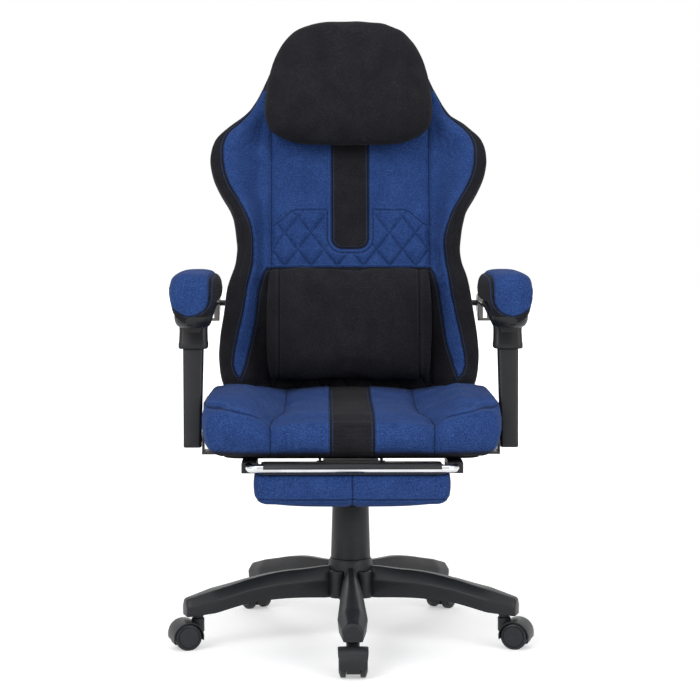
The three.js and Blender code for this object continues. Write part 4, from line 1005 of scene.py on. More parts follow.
# Pillows and straps
lumbarValues = {
    "name": "lumbar_pillow", "half": 0.168, "height": 0.234, "start": 0.027, "thickness": 0.078,
    "rest": 0.0646, "rows": 57, "backRoll": 0.012, "flat": 0.46, "dome": 0.52, "powerAcross": 7,
    "powerAlong": 6, "cap": 0.006, "shrink": 0.003, "edgeLevel": 0.016, "endSeam": 0.139, "fill": 0.8,
    "edgeGroove": (0.002, 0.003), "endGroove": (0.0022, 0.0035), "pleat": 0.0010,
}
headValues = {
    "name": "headrest_pillow", "half": 0.174, "height": 0.254, "start": 0.507, "thickness": 0.092,
    "rest": 0.0646, "rows": 61, "backRoll": 0.014, "flat": 0.45, "dome": 0.54, "powerAcross": 4,
    "powerAlong": 4, "cap": 0.005, "shrink": 0.002, "edgeLevel": 0.018, "sag": 0.006, "fill": 0.85,
    "edgeGroove": (0.002, 0.003), "pleat": 0.0007,
}
headOutline = [
    (0.0, 0.72), (0.06, 0.9), (0.12, 0.965), (0.2, 1.0), (0.3, 1.0), (0.41, 0.985), (0.51, 0.96),
    (0.62, 0.92), (0.72, 0.87), (0.82, 0.8), (0.92, 0.69), (0.97, 0.58), (1.0, 0.42),
]


def pillowCloth(name, seams):
    return fabric(name, blackTones, seams, crease=0.0014, offset=0.005, fleck=0.55, thread=0.0009)


# A pillow laid on the back and blown up: its thickness is flat + dome ((1 - |u|^p) (1 - |v|^q))^0.5.
def startPillow(values, bend, cloth):
    base = roundedPlan(values["half"] - 0.002, values["height"] / 2 - 0.002, 0.035)

    def plan(u, v, inset):
        return bend(u, v, *base(u, v, inset))

    def crown(u, v):
        dome = (1 - np.abs(u) ** values["powerAcross"]) * (1 - np.abs(v) ** values["powerAlong"])
        return values["thickness"] * (values["flat"] + values["dome"] * dome**0.5)

    places, heights, quads = padPoints(
        toEnds(73), toEnds(values["rows"]), plan, crown, 0.0003, backRoll=values["backRoll"], bulge=0.001)
    middle = values["start"] + values["height"] / 2
    points = backPlace(places[:, 0], values["rest"] + heights, middle + places[:, 1])
    piece = meshPiece(values["name"] + "_soft", points, quads, cloth, bodyOf[values["name"]])
    inflate(piece, 0.005, 3.0, values["cap"], shrink=values["shrink"])
    subdivide(piece)
    side, out, up = backLocal(getPoints(piece))
    return piece, side, out, up, up - middle, out - values["rest"] - values["edgeLevel"]


# Moves the pillow's points, less the groove of its edge seam, and stores what its cloth reads.
def finishPillow(piece, values, move, **fields):
    edge = pressed(fields["edgeSeam"], values["edgeGroove"])
    setPoints(piece, getPoints(piece) + getNormals(piece) * (move - edge)[:, None])
    addValues(piece, **fields)
    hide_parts(values["name"])


def makeLumbar():
    values = lumbarValues
    cloth = pillowCloth("lumbarCloth", ["endSeam", "edgeSeam"])
    straight = lambda u, v, across, along: (across, along)
    piece, side, out, up, rise, level = startPillow(values, straight, cloth)
    endSeam = np.abs(side) - values["endSeam"]
    crease = pressed(endSeam, values["endGroove"]) * (out > values["rest"] + 0.02)
    wrinkle = values["pleat"] * np.sin(side * 95 + 5 * np.sin(rise * 20)) * smooth(np.abs(rise), 0.07, 0.11)
    along = up + np.where(np.abs(level) < 0.004, side, 0)
    finishPillow(piece, values, wrinkle - crease, endSeam=endSeam, edgeSeam=level, along=along)


def makeHeadrest():
    values = headValues

    def bend(u, v, across, along):
        sag = values["sag"] * (1 - u**2) * smooth(-v, 0.4, 1)
        return across * softTable(headOutline, (v + 1) / 2, 0.02), along - sag

    piece, side, out, up, rise, level = startPillow(values, bend, pillowCloth("headCloth", ["edgeSeam"]))
    wrinkle = values["pleat"] * np.sin(side * 110 + 4 * np.sin(rise * 26)) * smooth(np.abs(rise), 0.05, 0.11)
    finishPillow(piece, values, wrinkle * smooth(out, 0.10, 0.13), edgeSeam=level, along=side + up)


strapCloth = fabric("webbing", blackTones, thread=0.0016, fleck=0.4, sheen=0.1)
strapValues = {"front": 0.0628, "rear": 0.0124, "thickness": 0.0014, "bend": 0.006, "halfWidth": 0.020}


# A flat band carried round the edge of the back: front run, rounded turn, rear run.
def makeStrap(name, nodeName, frontEnd, rearEnd, edge, outward):
    thick, bend = strapValues["thickness"], strapValues["bend"]
    half = thick / 2
    front, rear = strapValues["front"] + half, -strapValues["rear"] - half
    turn = np.linspace(0, np.pi / 2, 7)
    c, s = bend * np.cos(turn), bend * np.sin(turn)
    firstBend = np.stack([front - bend + c, edge + outward * (half - bend + s)], -1)
    secondBend = np.stack([rear + bend - s, edge + outward * (half - bend + c)], -1)
    frontRun = np.stack([np.full(12, front), np.linspace(frontEnd, firstBend[0, 1], 13)[:-1]], -1)
    rearRun = np.stack([np.full(8, rear), np.linspace(secondBend[-1, 1], rearEnd, 9)[1:]], -1)
    path = np.concatenate([frontRun, firstBend, secondBend, rearRun])
    along = np.gradient(path, axis=0)
    along /= np.linalg.norm(along, axis=1, keepdims=True)
    normal = np.stack([along[:, 1], -along[:, 0]], -1)
    ring = roundedLoop(strapValues["halfWidth"], half, thick * 0.45, 4)
    out = path[:, None] + normal[:, None] * ring[None, :, 1:2]
    side = np.repeat(ring[None, :, 0], len(path), 0)
    piece = loftPiece(name, backPlace(side, out[..., 0], out[..., 1]), strapCloth, "back", 50)
    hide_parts(nodeName)
    return piece


makeLumbar()
makeHeadrest()
makeStrap("headrest_webbing", "headrest_strap", 0.640, 0.668, 0.7584, 1)
makeStrap("lumbar_webbing", "lumbar_strap", 0.067, 0.087, 0.0266, -1)
print("pillows ready")


# Seat
seatValues = {
    "halfWidth": 0.270, "front": 0.248, "rear": 0.231, "under": 0.374, "centre": 0.068, "wing": 0.106,
    "frontDrop": 0.009, "rearRise": 0.013, "seamDepth": 0.005, "seamShare": 0.54, "seamInward": 0.022,
    "roll": 0.020, "stripeHalf": 0.0395, "seamGroove": (0.005, 0.009), "stripeGroove": (0.002, 0.004),
    "piping": (0.0015, 0.003), "pipingAway": 0.005, "crossGroove": (0.0022, 0.008), "puff": 0.004,
    "facePuff": 0.005, "faceLow": 0.386, "pleat": 0.0014,
}
# The seam across each wing's front: distance from the middle, height.
crossRows = [(0.146, 0.442), (0.151, 0.4436), (0.184, 0.4526), (0.228, 0.4633), (0.262, 0.4669)]


def seatCrown(u, v):
    values = seatValues
    across = np.abs(u)
    share = values["seamShare"] - values["seamInward"] / values["halfWidth"] * smooth(v, -0.95, -0.15)
    wing = smooth(across, share + 0.03, 0.84) * (1 - 0.08 * smooth(across, 0.93, 1.0))
    frontFade = smooth(v, -1.0, -0.55)
    rearFade = 1 - 0.85 * smooth(v, 0.2, 0.9)
    rise = (values["wing"] - values["centre"]) * wing * (0.8 + 0.2 * frontFade) * rearFade
    crown = values["seamDepth"] * np.clip(1 - (across / share) ** 2, 0, 1)
    front = values["frontDrop"] * (1 - smooth(v, -1.0, -0.75))
    rear = values["rearRise"] * smooth(v, 0.2, 0.8) * (1 - 0.35 * smooth(v, 0.95, 1.0))
    return values["centre"] + rise + crown - front + rear


def makeSeat():
    values = seatValues
    halfLength, middle = lengthOf(values)
    plan = roundedPlan(values["halfWidth"], halfLength, 0.055, 6)
    u, v = np.linspace(-1, 1, 135), np.linspace(-1, 1, 121)
    places, heights, quads = padPoints(u, v, plan, seatCrown, values["roll"], backRoll=0.030, bulge=0.003)
    points = seatPlace(places[:, 0], middle - places[:, 1], values["under"] + heights)
    piece = meshPiece("seat_upholstery", points, quads, seatCloth(), bodyOf["seat_cushion"])
    points, normals = getPoints(piece), getNormals(piece)
    side, height = points[:, 0], points[:, 2]
    forward = -(points[:, 1] + shiftBack)
    across = np.abs(side)
    inward = values["seamInward"] * smooth(middle - forward, -0.95 * halfLength, -0.15 * halfLength)
    seam = across - (values["seamShare"] * values["halfWidth"] - inward)
    stripe = across - values["stripeHalf"]
    frontness = smooth(forward, 0.19, 0.235)
    u, v = np.clip(side / values["halfWidth"], -1, 1), np.clip((middle - forward) / halfLength, -1, 1)
    local = values["under"] + seatCrown(u, v)
    crossLevel = np.interp(across, *np.array(crossRows).T) * frontness + (local - 0.012) * (1 - frontness)
    cross = height - crossLevel
    facing = smooth(normals[:, 2] + np.clip(-normals[:, 1], 0, 1), 0.2, 0.6)
    move = -pressed(seam, values["seamGroove"]) - pressed(stripe, values["stripeGroove"])
    move += pressed(stripe - values["pipingAway"], values["piping"])
    move -= pressed(cross, values["crossGroove"]) * smooth(seam, 0.0, 0.006)
    puff = values["puff"] * np.sin(np.clip(-seam / 0.146, 0, 1) * np.pi) * (across > values["stripeHalf"])
    rearFade = 1 - 0.7 * smooth(-forward, 0.12, 0.21)
    upFace = np.clip((height - values["faceLow"]) / (crossLevel - values["faceLow"]), 0, 1)
    facePuff = values["facePuff"] * np.sin(upFace * np.pi) * frontness
    facePuff *= np.sin(np.clip(seam / 0.12, 0, 1) * np.pi) ** 0.6 * (seam > 0)
    move = (move + puff) * rearFade + facePuff
    onWing = smooth(seam, 0.01, 0.04) * (1 - smooth(seam, 0.08, 0.11))
    wrinkle = values["pleat"] * np.sin(forward * 55 + 4 * np.sin(side * 18)) * onWing
    top = smooth(normals[:, 2], 0.3, 0.8)
    keepUnder = smooth(height, values["under"] + 0.004, values["under"] + 0.02)
    setPoints(piece, points + normals * ((move * facing + wrinkle * top) * keepUnder)[:, None])
    addValues(
        piece, seam=seam, stripe=stripe, cross=np.where(seam > 0, cross, 0.1), along=forward - height,
        under=smooth(-normals[:, 2], 0.5, 0.8), alongCross=side + forward,
    )
    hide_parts("seat_cushion")


def seatCloth():
    material, tree, shader = startMaterial("seatCloth")
    blue, black, height = bothCloths(tree)
    stripe, seam, cross = (attribute(tree, name) for name in ("stripe", "seam", "cross"))
    isBlue = times(tree, ramp(tree, stripe, -0.0004, 0.0004), minus(tree, 1.0, attribute(tree, "under")))
    colour = mixColour(tree, isBlue, black, blue)
    along = attribute(tree, "along")
    # The second number of each seam is the strength of the shade painted into its crease.
    seams = [
        (seamAt(tree, seam, along, 0.0016, noStitches), 0.6),
        (seamAt(tree, stripe, along, 0.0012, 0.0045), 0.5),
        (seamAt(tree, cross, attribute(tree, "alongCross"), 0.0014, 0.005), 0.6),
    ]
    colour, seamHeight = joinSeams(tree, colour, seams, blueTones[2])
    finishCloth(tree, shader, colour, height, seamHeight)
    return material


makeSeat()
nodes["seat_board"].data.materials.clear()
nodes["seat_board"].data.materials.append(dustCloth)
print("seat ready")


# Arms
armValues = {
    "side": 0.290, "half": 0.041, "front": 0.135, "rear": 0.125, "padBottom": 0.640, "padTop": 0.699,
    "shellBottom": 0.597, "trayRear": 0.628, "sleeveTop": 0.600, "sleeveBottom": 0.554, "postSide": 0.295,
    "noseDrop": 0.038, "tongueOuter": 0.90, "tongueInner": 0.70, "spreadTop": 1.17, "spreadLow": 0.88,
    "spreadStart": 0.604, "spreadEnd": 0.656, "outward": 0.0025, "noseStart": 0.078, "noseEnd": 0.122,
    "tongueTop": 0.660, "tongueLow": 0.6255, "tongueBend": 0.035, "tongueRise": 0.026,
    "tongueGroove": (0.0016, 0.003),
    "sleeveForward": 0.017, "sleeveHalfWidth": 0.0265, "sleeveHalfDepth": 0.0205, "sleeveCorner": 0.009,
    "footForward": 0.062, "footHeight": 0.388, "postWidth": 0.033, "postSpread": 0.006, "postLength": 0.2,
}


def makeArmPad(sign, label):
    values = armValues
    halfLength, middle = lengthOf(values)
    base = roundedPlan(values["half"], halfLength, 0.11, 4)
    thick = values["padTop"] - values["padBottom"]

    def plan(u, v, inset):
        across, along = base(u, v, inset)
        return across * (1 - 0.08 * smooth(-v, -0.2, 1)), along

    def crown(u, v):
        return thick * (0.5 + 0.5 * np.sqrt((1 - np.abs(u) ** 3) * (1 - np.abs(v) ** 10)))

    def spreadAt(level):
        share = smooth(level, values["spreadStart"], values["spreadEnd"])
        return values["spreadLow"] + (values["spreadTop"] - values["spreadLow"]) * share

    u, v = toEnds(49), toEnds(97)
    places, heights, quads = padPoints(u, v, plan, crown, 0.0003, backRoll=0.011, bulge=0.0005)
    forward = middle - places[:, 1]
    share = heights / thick
    nose = smooth(forward, values["noseStart"], values["noseEnd"])
    drop = values["noseDrop"] * nose * (1 - np.clip(share, 0, 1)) ** 1.3
    drop *= 1 - 0.45 * np.clip(np.abs(places[:, 0]) / values["half"], 0, 1) ** 2
    level = values["padBottom"] + heights - drop
    centre = sign * (values["side"] + values["outward"])
    points = seatPlace(centre + places[:, 0] * spreadAt(level), forward, level)
    piece = meshPiece(f"arm_pad_soft_{label}", points, quads, armCloth, bodyOf[f"arm_pad_{label}"])
    points, normals = getPoints(piece), getNormals(piece)
    height = points[:, 2]
    outwards = sign * (points[:, 0] - centre) / (values["half"] * spreadAt(height))
    raised = values["tongueRise"] * (1 - smooth(-(points[:, 1] + shiftBack), 0.0, 0.09))
    bend = np.clip((values["tongueTop"] + raised - height) / values["tongueBend"], 0, 1)
    rounding = np.clip(1 - bend**4, 0, 1) ** (1 / 3)
    outer, inner = values["tongueOuter"] * rounding - outwards, values["tongueInner"] * rounding + outwards
    tongue = np.where(height < values["tongueLow"] + raised, -0.2, np.minimum(outer, inner)) * values["half"]
    setPoints(piece, points - normals * pressed(tongue, values["tongueGroove"])[:, None])
    addValues(piece, tongue=tongue, along=points[:, 1] - height)
    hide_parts(f"arm_pad_{label}")


def makeArmCloth():
    material, tree, shader = startMaterial("armCloth")
    blue, black, height = bothCloths(tree)
    tongue = attribute(tree, "tongue")
    colour = mixColour(tree, ramp(tree, tongue, -0.0004, 0.0004), black, blue)
    seam = seamAt(tree, tongue, attribute(tree, "along"), 0.0014, 0.004)
    # The tongue's crease gets painted shade at a strength of 0.45.
    colour, seamHeight = joinSeams(tree, colour, [(seam, 0.45)], blueTones[2])
    finishCloth(tree, shader, colour, height, seamHeight)
    return material


armCloth = makeArmCloth()


# A boat-shaped tray under the pad, of rounded loops that swell upwards, and the sleeve that takes the post.
def makeArmShell(sign, label):
    values = armValues
    halfLength, middle = lengthOf(values)
    levels = np.array([0, 0.03, 0.10, 0.22, 0.36, 0.5, 0.56, 0.62, 0.8, 1.0])
    insets = np.array([0.016, 0.011, 0.006, 0.0025, 0.0005, 0.0, 0.0006, 0.003, 0.004, 0.004])
    drawn = np.array([0.010, 0.007, 0.004, 0.001, 0.0, 0.0, 0.004, 0.014, 0.026, 0.030])
    top = values["padBottom"] + 0.001
    loops = []
    for level, inset, front in zip(levels, insets, drawn):
        half = (values["half"] - inset) * 0.85
        ring = roundedLoop(half, halfLength - inset, half - 0.004, 12)
        forward = middle + ring[:, 1]
        forward = forward - front * smooth(forward, 0.02, 0.13)
        fall = (values["trayRear"] - values["shellBottom"]) * smooth(forward, -0.06, -0.005)
        bottom = values["trayRear"] - fall
        height = bottom + (top - bottom) * level
        loops.append(seatPlace(sign * values["side"] + ring[:, 0], forward, height))
    tray = loftPiece(f"arm_shell_tray_{label}", loops, nylonSmooth, bodyOf[f"arm_shell_{label}"], 40)
    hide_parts(f"arm_shell_{label}")
    centre, sleeveForward = sign * values["postSide"], values["sleeveForward"]
    tall = values["sleeveTop"] - values["sleeveBottom"]
    rows = [
        (0.0, -0.0012), (0.02, 0.0002), (0.06, 0.0008), (0.2, 0.0008), (0.3, 0.0), (0.7, -0.0006), (1.0, 0.0),
    ]
    loops = []
    for share, grow in rows:
        halfWidth, halfDepth = values["sleeveHalfWidth"] + grow, values["sleeveHalfDepth"] + grow
        ring = roundedLoop(halfWidth, halfDepth, values["sleeveCorner"], 6)
        height = np.full(len(ring), values["sleeveBottom"] + tall * share)
        lean = (1 - share) * tall * math.tan(backValues["lean"])
        loops.append(seatPlace(centre + ring[:, 0], sleeveForward + lean + ring[:, 1], height))
    low = loops[0]
    inner = seatPlace(
        centre + 0.72 * (low[:, 0] - centre),
        sleeveForward + 0.8 * (-(low[:, 1] + shiftBack) - sleeveForward),
        low[:, 2],
    )
    well = inner + [0, 0, 0.04]
    sleeve = loftPiece(
        f"arm_sleeve_{label}", [well, inner, *loops], nylonSmooth, bodyOf[f"arm_shell_{label}"], 40)
    return tray, sleeve


# A tapering rounded bar from the foot's pivot to the sleeve's, leaning with the back.
def makeArmPost(sign, label):
    values, lean = armValues, backValues["lean"]
    foot = np.array([values["footForward"], values["footHeight"]])
    along = np.array([-math.sin(lean), math.cos(lean)])
    rows = [
        (-0.0168, 0.80), (-0.0160, 0.90), (-0.0140, 0.97), (-0.010, 1.0), (0.0, 1.0), (0.05, 1.0),
        (0.10, 1.0), (0.15, 1.0), (0.185, 1.0), (0.203, 0.97), (0.209, 0.9), (0.2115, 0.7),
    ]
    loops = []
    for reach, share in rows:
        spread = values["postSpread"] * np.clip(reach / values["postLength"], 0, 1)
        width = (values["postWidth"] + spread) / 2
        depth = 0.015 if reach > -0.011 else 0.0155
        ring = roundedLoop(width * min(1, share + 0.06), depth * share, 0.005, 6)
        forward = foot[0] + along[0] * reach + ring[:, 1]
        height = foot[1] + along[1] * reach + ring[:, 1] * math.tan(lean) * 0.4
        loops.append(seatPlace(sign * values["postSide"] + ring[:, 0], forward, height))
    piece = loftPiece(f"arm_post_bar_{label}", loops, nylonSmooth, bodyOf[f"arm_post_{label}"], 40)
    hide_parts(f"arm_post_{label}")
    return piece


for sign, label in ((-1, "left"), (1, "right")):
    makeArmPad(sign, label)
    makeArmShell(sign, label)
    makeArmPost(sign, label)
    dressed(f"arm_bracket_{label}", greySteel, 0.0012)
    dressed(f"arm_mount_{label}", paintedSteel, 0.0010)
    dressed(f"recline_bracket_{label}", paintedSteel, 0.0010)
print("arms ready")

dressed("recline_yoke", paintedSteel, 0.0010)
dressed("recline_lever", nylonSmooth, 0.0015)
dressed("tilt_housing", paintedSteel, 0.0020)
dressed("tilt_plate", paintedSteel, 0.0010)
dressed("tension_knob", nylon, 0.0012)
dressed("height_lever", nylonSmooth, 0.0012)
print("mechanism ready")


# Footrest
footValues = {
    "half": 0.176, "front": 0.250, "rear": 0.088, "bottom": 0.284, "top": 0.3464, "roll": 0.019,
    "barForward": 0.255, "barHeight": 0.3575, "tubeRadius": 0.007, "tubeSide": 0.184, "tubeRear": 0.075,
    "bend": 0.016, "added": 0.003, "seamGroove": (0.003, 0.006), "rimGroove": (0.0010, 0.003), "rimUp": 0.016,
}


def makeFootPad():
    values = footValues
    halfLength = (values["front"] - values["rear"]) / 2
    middle = (values["front"] + values["rear"]) / 2
    plan = roundedPlan(values["half"], halfLength, 0.05, 6)
    thick = values["top"] - values["bottom"] + values["added"]
    crown = lambda u, v: thick * (0.86 + 0.14 * (1 - np.abs(u) ** 4) * (1 - v**4))
    u, v = np.linspace(-1, 1, 121), np.linspace(-1, 1, 61)
    places, heights, quads = padPoints(u, v, plan, crown, values["roll"], backRoll=0.008, bulge=0.001)
    points = seatPlace(places[:, 0], middle + places[:, 1], values["top"] - heights)
    piece = meshPiece("footrest_pad_soft", points, quads, footCloth(), bodyOf["footrest_pad"])
    points, normals = getPoints(piece), getNormals(piece)
    seam = points[:, 0]
    rim = points[:, 2] - (values["bottom"] + values["rimUp"])
    onSide = 1 - smooth(np.abs(normals[:, 2]), 0.5, 0.8)
    move = -pressed(seam, values["seamGroove"]) - pressed(rim, values["rimGroove"]) * onSide
    setPoints(piece, points + normals * (move * smooth(values["top"] - points[:, 2], 0.002, 0.01))[:, None])
    addValues(piece, seam=seam, rim=np.where(onSide > 0.2, rim, 0.1), along=points[:, 1] + points[:, 2])
    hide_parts("footrest_pad")


def footCloth():
    return fabric("footCloth", blueTones, ["seam", "rim"], crease=0.0015, offset=0.0045)


def makeFootTube():
    values = footValues
    turn = np.linspace(0, np.pi / 2, 13)
    bendSide = values["tubeSide"] - values["bend"] + values["bend"] * np.cos(turn)
    bendForward = values["barForward"] - values["bend"] + values["bend"] * np.sin(turn)
    rightSide = np.concatenate([np.full(12, values["tubeSide"]), bendSide])
    rightForward = np.concatenate([np.linspace(-values["tubeRear"], bendForward[0], 13)[:-1], bendForward])
    side = np.concatenate([rightSide, np.linspace(rightSide[-1], -rightSide[-1], 14)[1:-1], -rightSide[::-1]])
    forward = np.concatenate([rightForward, np.full(12, values["barForward"]), rightForward[::-1]])
    path = seatPlace(side, forward, np.full(len(side), values["barHeight"]))
    piece = tubePiece("footrest_tube", path, values["tubeRadius"], chrome, bodyOf["footrest_frame"])
    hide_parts("footrest_frame")


makeFootPad()
makeFootTube()
dressed("footrest_board", nylon, 0.0008)
for label in ("left", "right"):
    dressed(f"footrest_guide_{label}", nylon, 0.0015)
print("footrest ready")


# Column, base and casters
def columnPiece(nodeName, material, profile):
    centre = (0, -shiftBack, 0)
    piece = turnedPiece(nodeName + "_turned", profile, centre, material, bodyOf[nodeName])
    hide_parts(nodeName)
    return piece


# A hollow ring: up the outside with a soft lip, over the top and down the inside.
def coverProfile(bottomRadius, topRadius, bottom, top, wall=0.0022):
    lip = 0.0012
    return [
        (bottomRadius - wall, bottom), (bottomRadius - lip * 0.3, bottom), (bottomRadius, bottom + lip),
        (topRadius, top - lip * 1.5), (topRadius - lip * 0.4, top - lip * 0.4), (topRadius - lip, top),
        (topRadius - wall, top), (topRadius - wall, top - lip), (bottomRadius - wall, bottom),
    ]


columnPiece("column_cover_lower", nylon, coverProfile(0.0375, 0.0347, 0.1534, 0.2554))
columnPiece("column_cover_middle", nylon, coverProfile(0.0321, 0.0321, 0.158, 0.2604))
columnPiece("column_cover_upper", nylon, coverProfile(0.0295, 0.0295, 0.2044, 0.2896))
cylinderProfile = [
    (0, 0.072), (0.023, 0.072), (0.025, 0.074), (0.025, 0.2598), (0.0228, 0.262), (0.0144, 0.262),
    (0.0144, 0.153), (0, 0.153),
]
rodProfile = [(0, 0.1534), (0.013, 0.1534), (0.014, 0.1544), (0.014, 0.336), (0.012, 0.338), (0, 0.338)]
columnPiece("gas_cylinder", paintedSteel, cylinderProfile)
columnPiece("gas_rod", chrome, rodProfile)

baseValues = {
    "legs": 5, "start": 0.026, "reach": 0.325, "fullWidth": 0.055, "hubTop": 0.139, "tipTop": 0.093,
    "tipBottom": 0.061, "hubBottom": 0.080, "chamfer": 0.42, "arch": 0.008, "hump": 0.005,
    "lobeReach": 0.041, "stemReach": 0.300,
}
# Share of the reach, then the shares of width, top width, top height and lower height.
legRows = [
    (0.0, 0.56, 0.26, 1.0, 1.0), (0.1, 0.58, 0.27, 1.0, 1.0), (0.62, 0.86, 0.4, 0.6, 0.68),
    (0.82, 1.0, 0.49, 0.34, 0.32), (1.0, 0.69, 0.47, 0.0, 0.0),
]


# Sections along a leg: a chamfered six-sided shape whose sizes follow smooth curves of the reach.
def legLoops(values):
    rows = np.array(legRows)
    share = np.concatenate([np.linspace(0, 0.985, 40), [0.993, 0.998, 1.0]])
    width, top, topHeight, lowHeight = (np.interp(share, rows[:, 0], rows[:, k]) for k in (1, 2, 3, 4))
    reach = values["start"] + (values["reach"] - values["start"]) * share
    half = values["fullWidth"] * width / 2
    high = values["tipTop"] + (values["hubTop"] - values["tipTop"]) * topHeight
    low = values["tipBottom"] + (values["hubBottom"] - values["tipBottom"]) * lowHeight
    high = high + values["hump"] * groove(share - 0.42, 0.2)
    low = low + values["arch"] * np.sin(np.clip((share - 0.1) / 0.72, 0, 1) * np.pi)
    endDraw = np.interp(share, [0, 0.985, 0.993, 0.998, 1.0], [0, 0, 0.001, 0.0022, 0.004])
    half, high, low = half - endDraw, high - endDraw, low + endDraw * 0.3
    shoulder = high - (high - low) * values["chamfer"]
    sides = [(-half * 0.9, low), (half * 0.9, low), (half, shoulder), (half * top, high), (-half * top, high),
        (-half, shoulder)]
    return reach, np.stack([np.stack(pair, -1) for pair in sides], 1)


# Replaces each corner of a section by three points: one along either side and one a little way inwards.
def easeCorners(corners, radius=0.0022):
    before, after = np.roll(corners, 1, 1) - corners, np.roll(corners, -1, 1) - corners
    unit = lambda d: d / np.maximum(np.linalg.norm(d, axis=-1, keepdims=True), 1e-9)
    moves = [unit(before) * radius, unit(before + after) * radius * 0.28, unit(after) * radius]
    return np.stack([corners + move for move in moves], 2).reshape(corners.shape[0], -1, 2)


# Radius and height pairs of the hub, of the lobes between the legs and of the sockets at the tips.
hubProfile = [
    (0, 0.080), (0.044, 0.080), (0.046, 0.082), (0.046, 0.112), (0.0445, 0.128), (0.042, 0.141),
    (0.0405, 0.149), (0.0385, 0.1525), (0.036, 0.153), (0, 0.153),
]
lobeProfile = [
    (0, 0.082), (0.015, 0.082), (0.0155, 0.084), (0.0155, 0.129), (0.0145, 0.132), (0.0115, 0.1335),
    (0.0105, 0.1322), (0.0102, 0.130), (0, 0.130),
]
tipProfile = [(0, 0.0585), (0.0098, 0.0585), (0.0104, 0.0592), (0.0110, 0.066), (0, 0.066)]


def makeBase():
    values = baseValues
    reach, corners = legLoops(values)
    section = easeCorners(corners)
    loops = seatPlace(section[..., 0], np.repeat(reach[:, None], section.shape[1], 1), section[..., 1])
    angleOf = lambda leg: 2 * np.pi * leg / values["legs"]
    centreAt = lambda reach: (0, -reach - shiftBack, 0)
    pieces = []
    for leg in range(values["legs"]):
        pieces.append(loftPiece(f"leg_{leg}", turnAbout(loops, angleOf(leg)), nylon, None, 34))
    pieces.append(turnedPiece("hub", hubProfile, centreAt(0), nylon, None, angle=34))
    for leg in range(values["legs"]):
        rows = [
            ("lobe", lobeProfile, values["lobeReach"], 32, angleOf(leg + 0.5)),
            ("tip", tipProfile, values["stemReach"], 24, angleOf(leg)),
        ]
        for label, profile, away, sides, turn in rows:
            pieces.append(turnedPiece(
                f"{label}_{leg}", profile, centreAt(away), nylon, None, sides=sides, angle=34, turn=turn))
    base = joinPieces("star_base_moulding", pieces)
    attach(base, bodyOf["star_base"])
    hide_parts("star_base")


def joinPieces(name, pieces):
    work = bmesh.new()
    for piece in pieces:
        work.from_mesh(piece.data)
    mesh = bpy.data.meshes.new(name)
    work.to_mesh(mesh)
    work.free()
    for material in pieces[0].data.materials:
        mesh.materials.append(material)
    joined = linked(name, mesh)
    for piece in pieces:
        data = piece.data
        bpy.data.objects.remove(piece)
        bpy.data.meshes.remove(data)
    return joined


makeBase()
print("base ready")

casterValues = {
    "circle": 0.300, "trail": 0.023, "radius": 0.025, "axle": 0.02469, "spacing": 0.0252, "thick": 0.013,
    "hoodRadius": 0.0292, "hoodWall": 0.0028, "hoodHalf": 0.027, "hoodStart": -12, "hoodEnd": 192,
    "webLowest": 0.0100,
}
webProfile = [
    (0.0, -0.0122), (0.0272, -0.0122), (0.0276, -0.0118), (0.0276, 0.0118), (0.0272, 0.0122), (0.0, 0.0122),
]
bossProfile = [
    (0, 0.0305), (0.0112, 0.0305), (0.012, 0.032), (0.012, 0.0555), (0.0112, 0.0566), (0.0098, 0.0572),
    (0, 0.0572),
]


def makeCaster(number, angle):
    values = casterValues
    centre = np.array([0, -(values["circle"] + values["trail"]) - shiftBack, values["axle"]])
    start, end = values["spacing"] / 2, values["spacing"] / 2 + values["thick"]
    r = values["radius"]
    profile = [
        (0.0034, start), (r * 0.9, start), (r - 0.0008, start + 0.0004), (r, start + 0.0014),
        (r, end - 0.0048), (r - 0.0006, end - 0.0036), (r - 0.0022, end - 0.0026), (r * 0.80, end - 0.0016),
        (r * 0.78, end - 0.0028), (r * 0.755, end - 0.0028), (r * 0.735, end - 0.0008),
        (r * 0.6, end - 0.0001), (r * 0.3, end - 0.0007), (0, end - 0.0011),
    ]
    for letter, sign in (("a", -1), ("b", 1)):
        name = f"caster_wheel_{number}{letter}"
        rows = [(radius, sign * height) for radius, height in profile]
        wheel = turnedPiece(name + "_disc", rows, centre, wheelNylon, bodyOf[name], "X", 56, turn=angle)
        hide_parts(name)
    makeHood(number, angle, centre)


# A fender swept round the wheels over an arc, with rounded cheeks, a web between the wheels and a stem boss.
def makeHood(number, angle, centre):
    values = casterValues
    outer, wall, half = values["hoodRadius"], values["hoodWall"], values["hoodHalf"]
    turn = np.linspace(math.radians(values["hoodStart"]), math.radians(values["hoodEnd"]), 49)
    ring = np.array([
        (outer - wall, -half), (outer - 0.0012, -half), (outer - 0.0004, -half + 0.0006),
        (outer, -half + 0.004), (outer + 0.0004, 0), (outer, half - 0.004), (outer - 0.0004, half - 0.0006),
        (outer - 0.0012, half), (outer - wall, half), (outer - wall, 0),
    ])
    taper = 1 - 0.1 * np.abs(np.cos(turn))[:, None] ** 6
    radius = ring[None, :, 0] * np.ones_like(taper)
    forward, height = radius * np.cos(turn)[:, None], radius * np.sin(turn)[:, None]
    side = ring[None, :, 1] * taper
    loops = np.stack([side + centre[0], centre[1] - forward, centre[2] + height], -1)
    fender = loftPiece(f"fender_{number}", turnAbout(loops, angle), nylon, None, 35)
    disc = turnedPoints(webProfile, 48, centre, "X")
    disc[..., 2] = np.maximum(disc[..., 2], values["webLowest"])
    disc = skinPiece(f"web_{number}", turnAbout(disc, angle), nylon, None, 35)
    stem = (0, -values["circle"] - shiftBack, 0)
    boss = turnedPiece(f"boss_{number}", bossProfile, stem, nylon, None, sides=32, angle=35, turn=angle)
    hood = joinPieces(f"caster_hood_{number}_moulding", [fender, disc, boss])
    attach(hood, bodyOf[f"caster_hood_{number}"])
    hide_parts(f"caster_hood_{number}")


